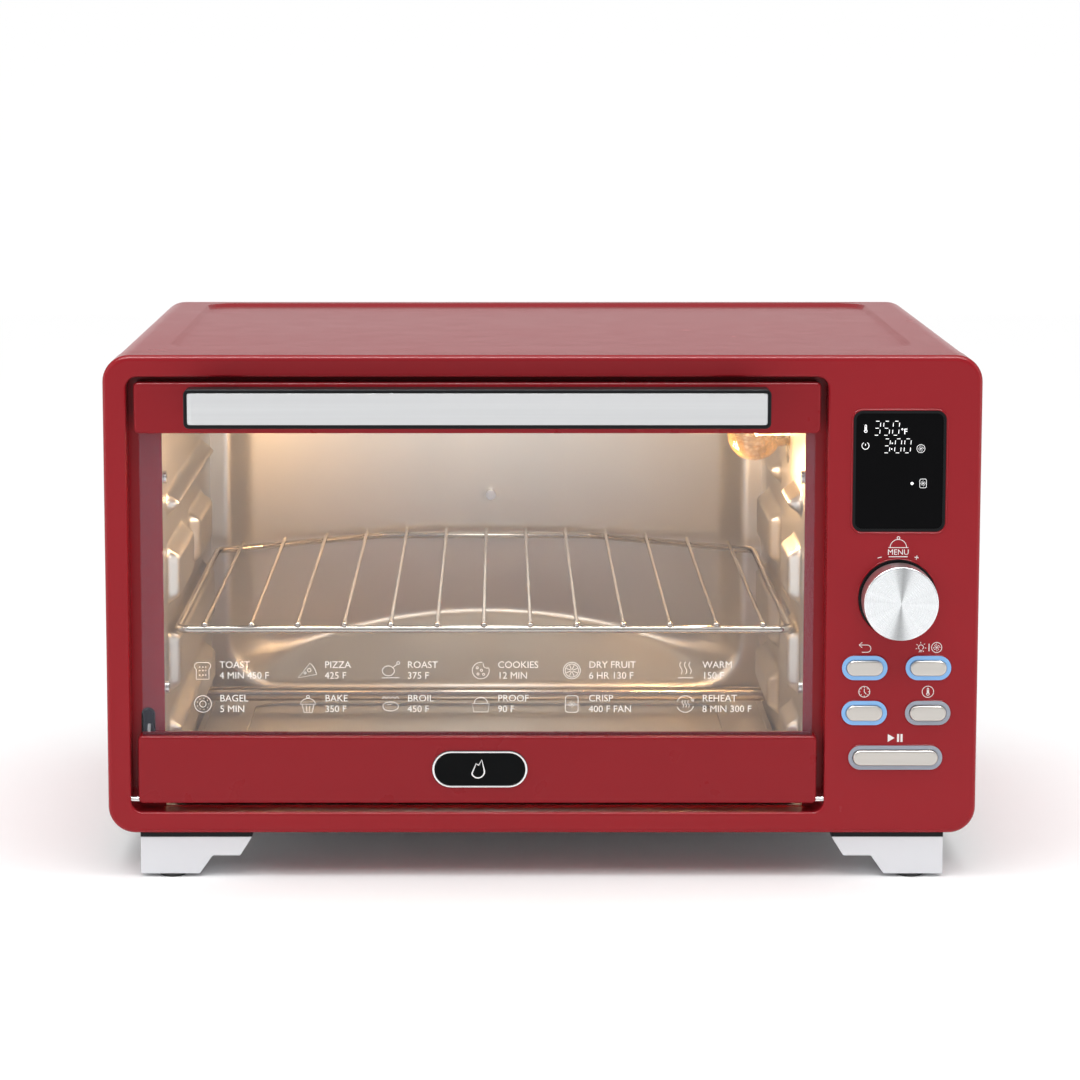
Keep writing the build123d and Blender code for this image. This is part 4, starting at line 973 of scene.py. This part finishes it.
def glass_marks():
    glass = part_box("door_glass")
    rail_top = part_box("door_bottom_rail")[1].z
    centre = middle("door_glass").x
    y = glass[0].y - 0.06 * MM
    marks = []
    for row, rise in ((UPPER, 34.4), (LOWER, 16.6)):
        for column, (mark, word, setting) in zip(COLUMNS, row):
            x, z = centre + column * MM, rail_top + rise * MM
            marks.append(drawn(MARKS[mark], (x, y, z), 9.2 * MM, 0.42 * MM))
            marks.append(lettered(word, (x + 8.8 * MM, y, z + 2.9 * MM), 3.5 * MM))
            marks.append(lettered(setting, (x + 8.8 * MM, y, z - 2.8 * MM), 3.5 * MM))
    piece = finish_piece(join(marks), "glass_marks", glass_ink, "door_glass")


glass_marks()


# ---- badge --------------------------------------------------------------------------------
def badge_rim():
    """A bright rim round the plain badge, and a small flame on it."""
    low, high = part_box("badge")
    spot = (low + high) / 2
    width, height = (high.x - low.x) / MM - 1.2, (high.z - low.z) / MM - 1.2
    at = (spot.x, low.y, spot.z)
    rim = drawn([pill(0, 0, width, height)], at, MM, 1.1 * MM, 0.8 * MM)
    flame = drawn(
        [arc(-0.1, -0.12, 0.34, -160, 20) + [(0.1, 0.5), (-0.06, 0.22), (-0.2, 0.3), (-0.42, -0.24)]],
        at, 10.0 * MM, 0.8 * MM, 0.3 * MM,
    )
    piece = join([rim, flame])
    smooth(piece, 60)
    finish_piece(piece, "badge_rim", bright_rim, "badge")


badge_rim()


# ---- studio -------------------------------------------------------------------------------
def floor():
    bpy.ops.object.select_all(action="DESELECT")
    bpy.ops.mesh.primitive_grid_add(x_subdivisions=1, y_subdivisions=80, size=80)
    piece = bpy.context.object
    # It rises far behind the oven, so that no edge of it is seen.
    rise, level_until = 0.12, 3.0
    for vertex in piece.data.vertices:
        vertex.co.z = rise * max(0.0, vertex.co.y - level_until)
    piece.name = "studio_floor"
    paper = Finish("studio_paper", Roughness=0.9, Specular_IOR_Level=0.1)
    grain = paper.noise(40.0, 3.0)
    paper.feed(Base_Color=paper.blend(grain, (0.955, 0.955, 0.955, 1), (0.965, 0.965, 0.965, 1)))
    piece.data.materials.append(paper.material)


def softbox(name, at, toward, size, power, reflected_only=False):
    light = bpy.data.lights.new(name, "AREA")
    light.shape = "RECTANGLE"
    light.size, light.size_y = size
    light.energy = power
    lamp = bpy.data.objects.new(name, light)
    lamp.location = at
    lamp.visible_diffuse = not reflected_only
    way = Vector(toward) - Vector(at)
    lamp.rotation_euler = way.to_track_quat("-Z", "Y").to_euler()
    bpy.context.scene.collection.objects.link(lamp)


def glow(name, at, radius, power, colour):
    """A small round light that isn't itself seen."""
    light = bpy.data.lights.new(name, "POINT")
    light.shadow_soft_size = radius
    light.energy = power
    light.color = colour
    lamp = bpy.data.objects.new(name, light)
    lamp.location = at
    lamp.visible_camera = False
    bpy.context.scene.collection.objects.link(lamp)


def camera():
    data = bpy.data.cameras.new("camera")
    data.sensor_width = 36
    data.lens = 109.0
    data.shift_x = 0.0387
    data.shift_y = -0.12
    view = bpy.data.objects.new("camera", data)
    view.location = (-0.0229, -1.8384, 0.4555)
    view.rotation_euler = (math.radians(90 - 7.065), 0, 0)
    bpy.context.scene.collection.objects.link(view)
    bpy.context.scene.camera = view


def studio():
    floor()
    world = bpy.data.worlds.new("studio")
    world.use_nodes = True
    background = world.node_tree.nodes["Background"]
    background.inputs["Color"].default_value = (1, 1, 1, 1)
    background.inputs["Strength"].default_value = 0.42
    bpy.context.scene.world = world
    sky = bpy.data.lights.new("overhead", "SUN")
    sky.energy = 2.0
    sky.angle = math.radians(64)
    lamp = bpy.data.objects.new("overhead", sky)
    lamp.rotation_euler = (math.radians(12), 0, 0)
    bpy.context.scene.collection.objects.link(lamp)
    softbox("front_left", (-2.0, -2.2, 1.1), (0, 0, 0.15), (1.0, 1.4), 4)
    softbox("front_right", (2.3, -2.0, 1.0), (0, 0, 0.15), (0.9, 1.2), 1)
    softbox("top_strip", (0, -0.45, 1.35), (0, -0.16, 0.27), (1.8, 0.1), 2.4)
    softbox("edge_strip", (0, -0.46, 1.33), (0, -0.16, 0.27), (1.8, 0.12), 26, True)
    softbox("left_strip", (-1.4, -0.35, 0.5), (0, 0, 0.15), (0.16, 1.1), 3)
    softbox("right_strip", (1.4, -0.35, 0.5), (0, 0, 0.15), (0.16, 1.1), 3)
    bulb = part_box("lamp_bulb")
    left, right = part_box("left_liner"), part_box("right_liner")
    beside_bulb = (bulb[0].x - 14 * MM, middle("lamp_bulb").y, bulb[0].z - 4 * MM)
    by_left_wall = (left[1].x + 60 * MM, left[0].y + 60 * MM, left[1].z - 36 * MM)
    mid_oven = ((left[1].x + right[0].x) / 2, middle("left_liner").y - 40 * MM, left[1].z - 30 * MM)
    glow("oven_lamp", beside_bulb, 7 * MM, 0.37, (1.0, 0.60, 0.28))
    glow("left_wall_light", by_left_wall, 20 * MM, 0.085, (1.0, 0.56, 0.22))
    glow("oven_fill", mid_oven, 24 * MM, 0.15, (1.0, 0.98, 0.95))
    bpy.context.scene.view_settings.view_transform = "Standard"


camera()
studio()
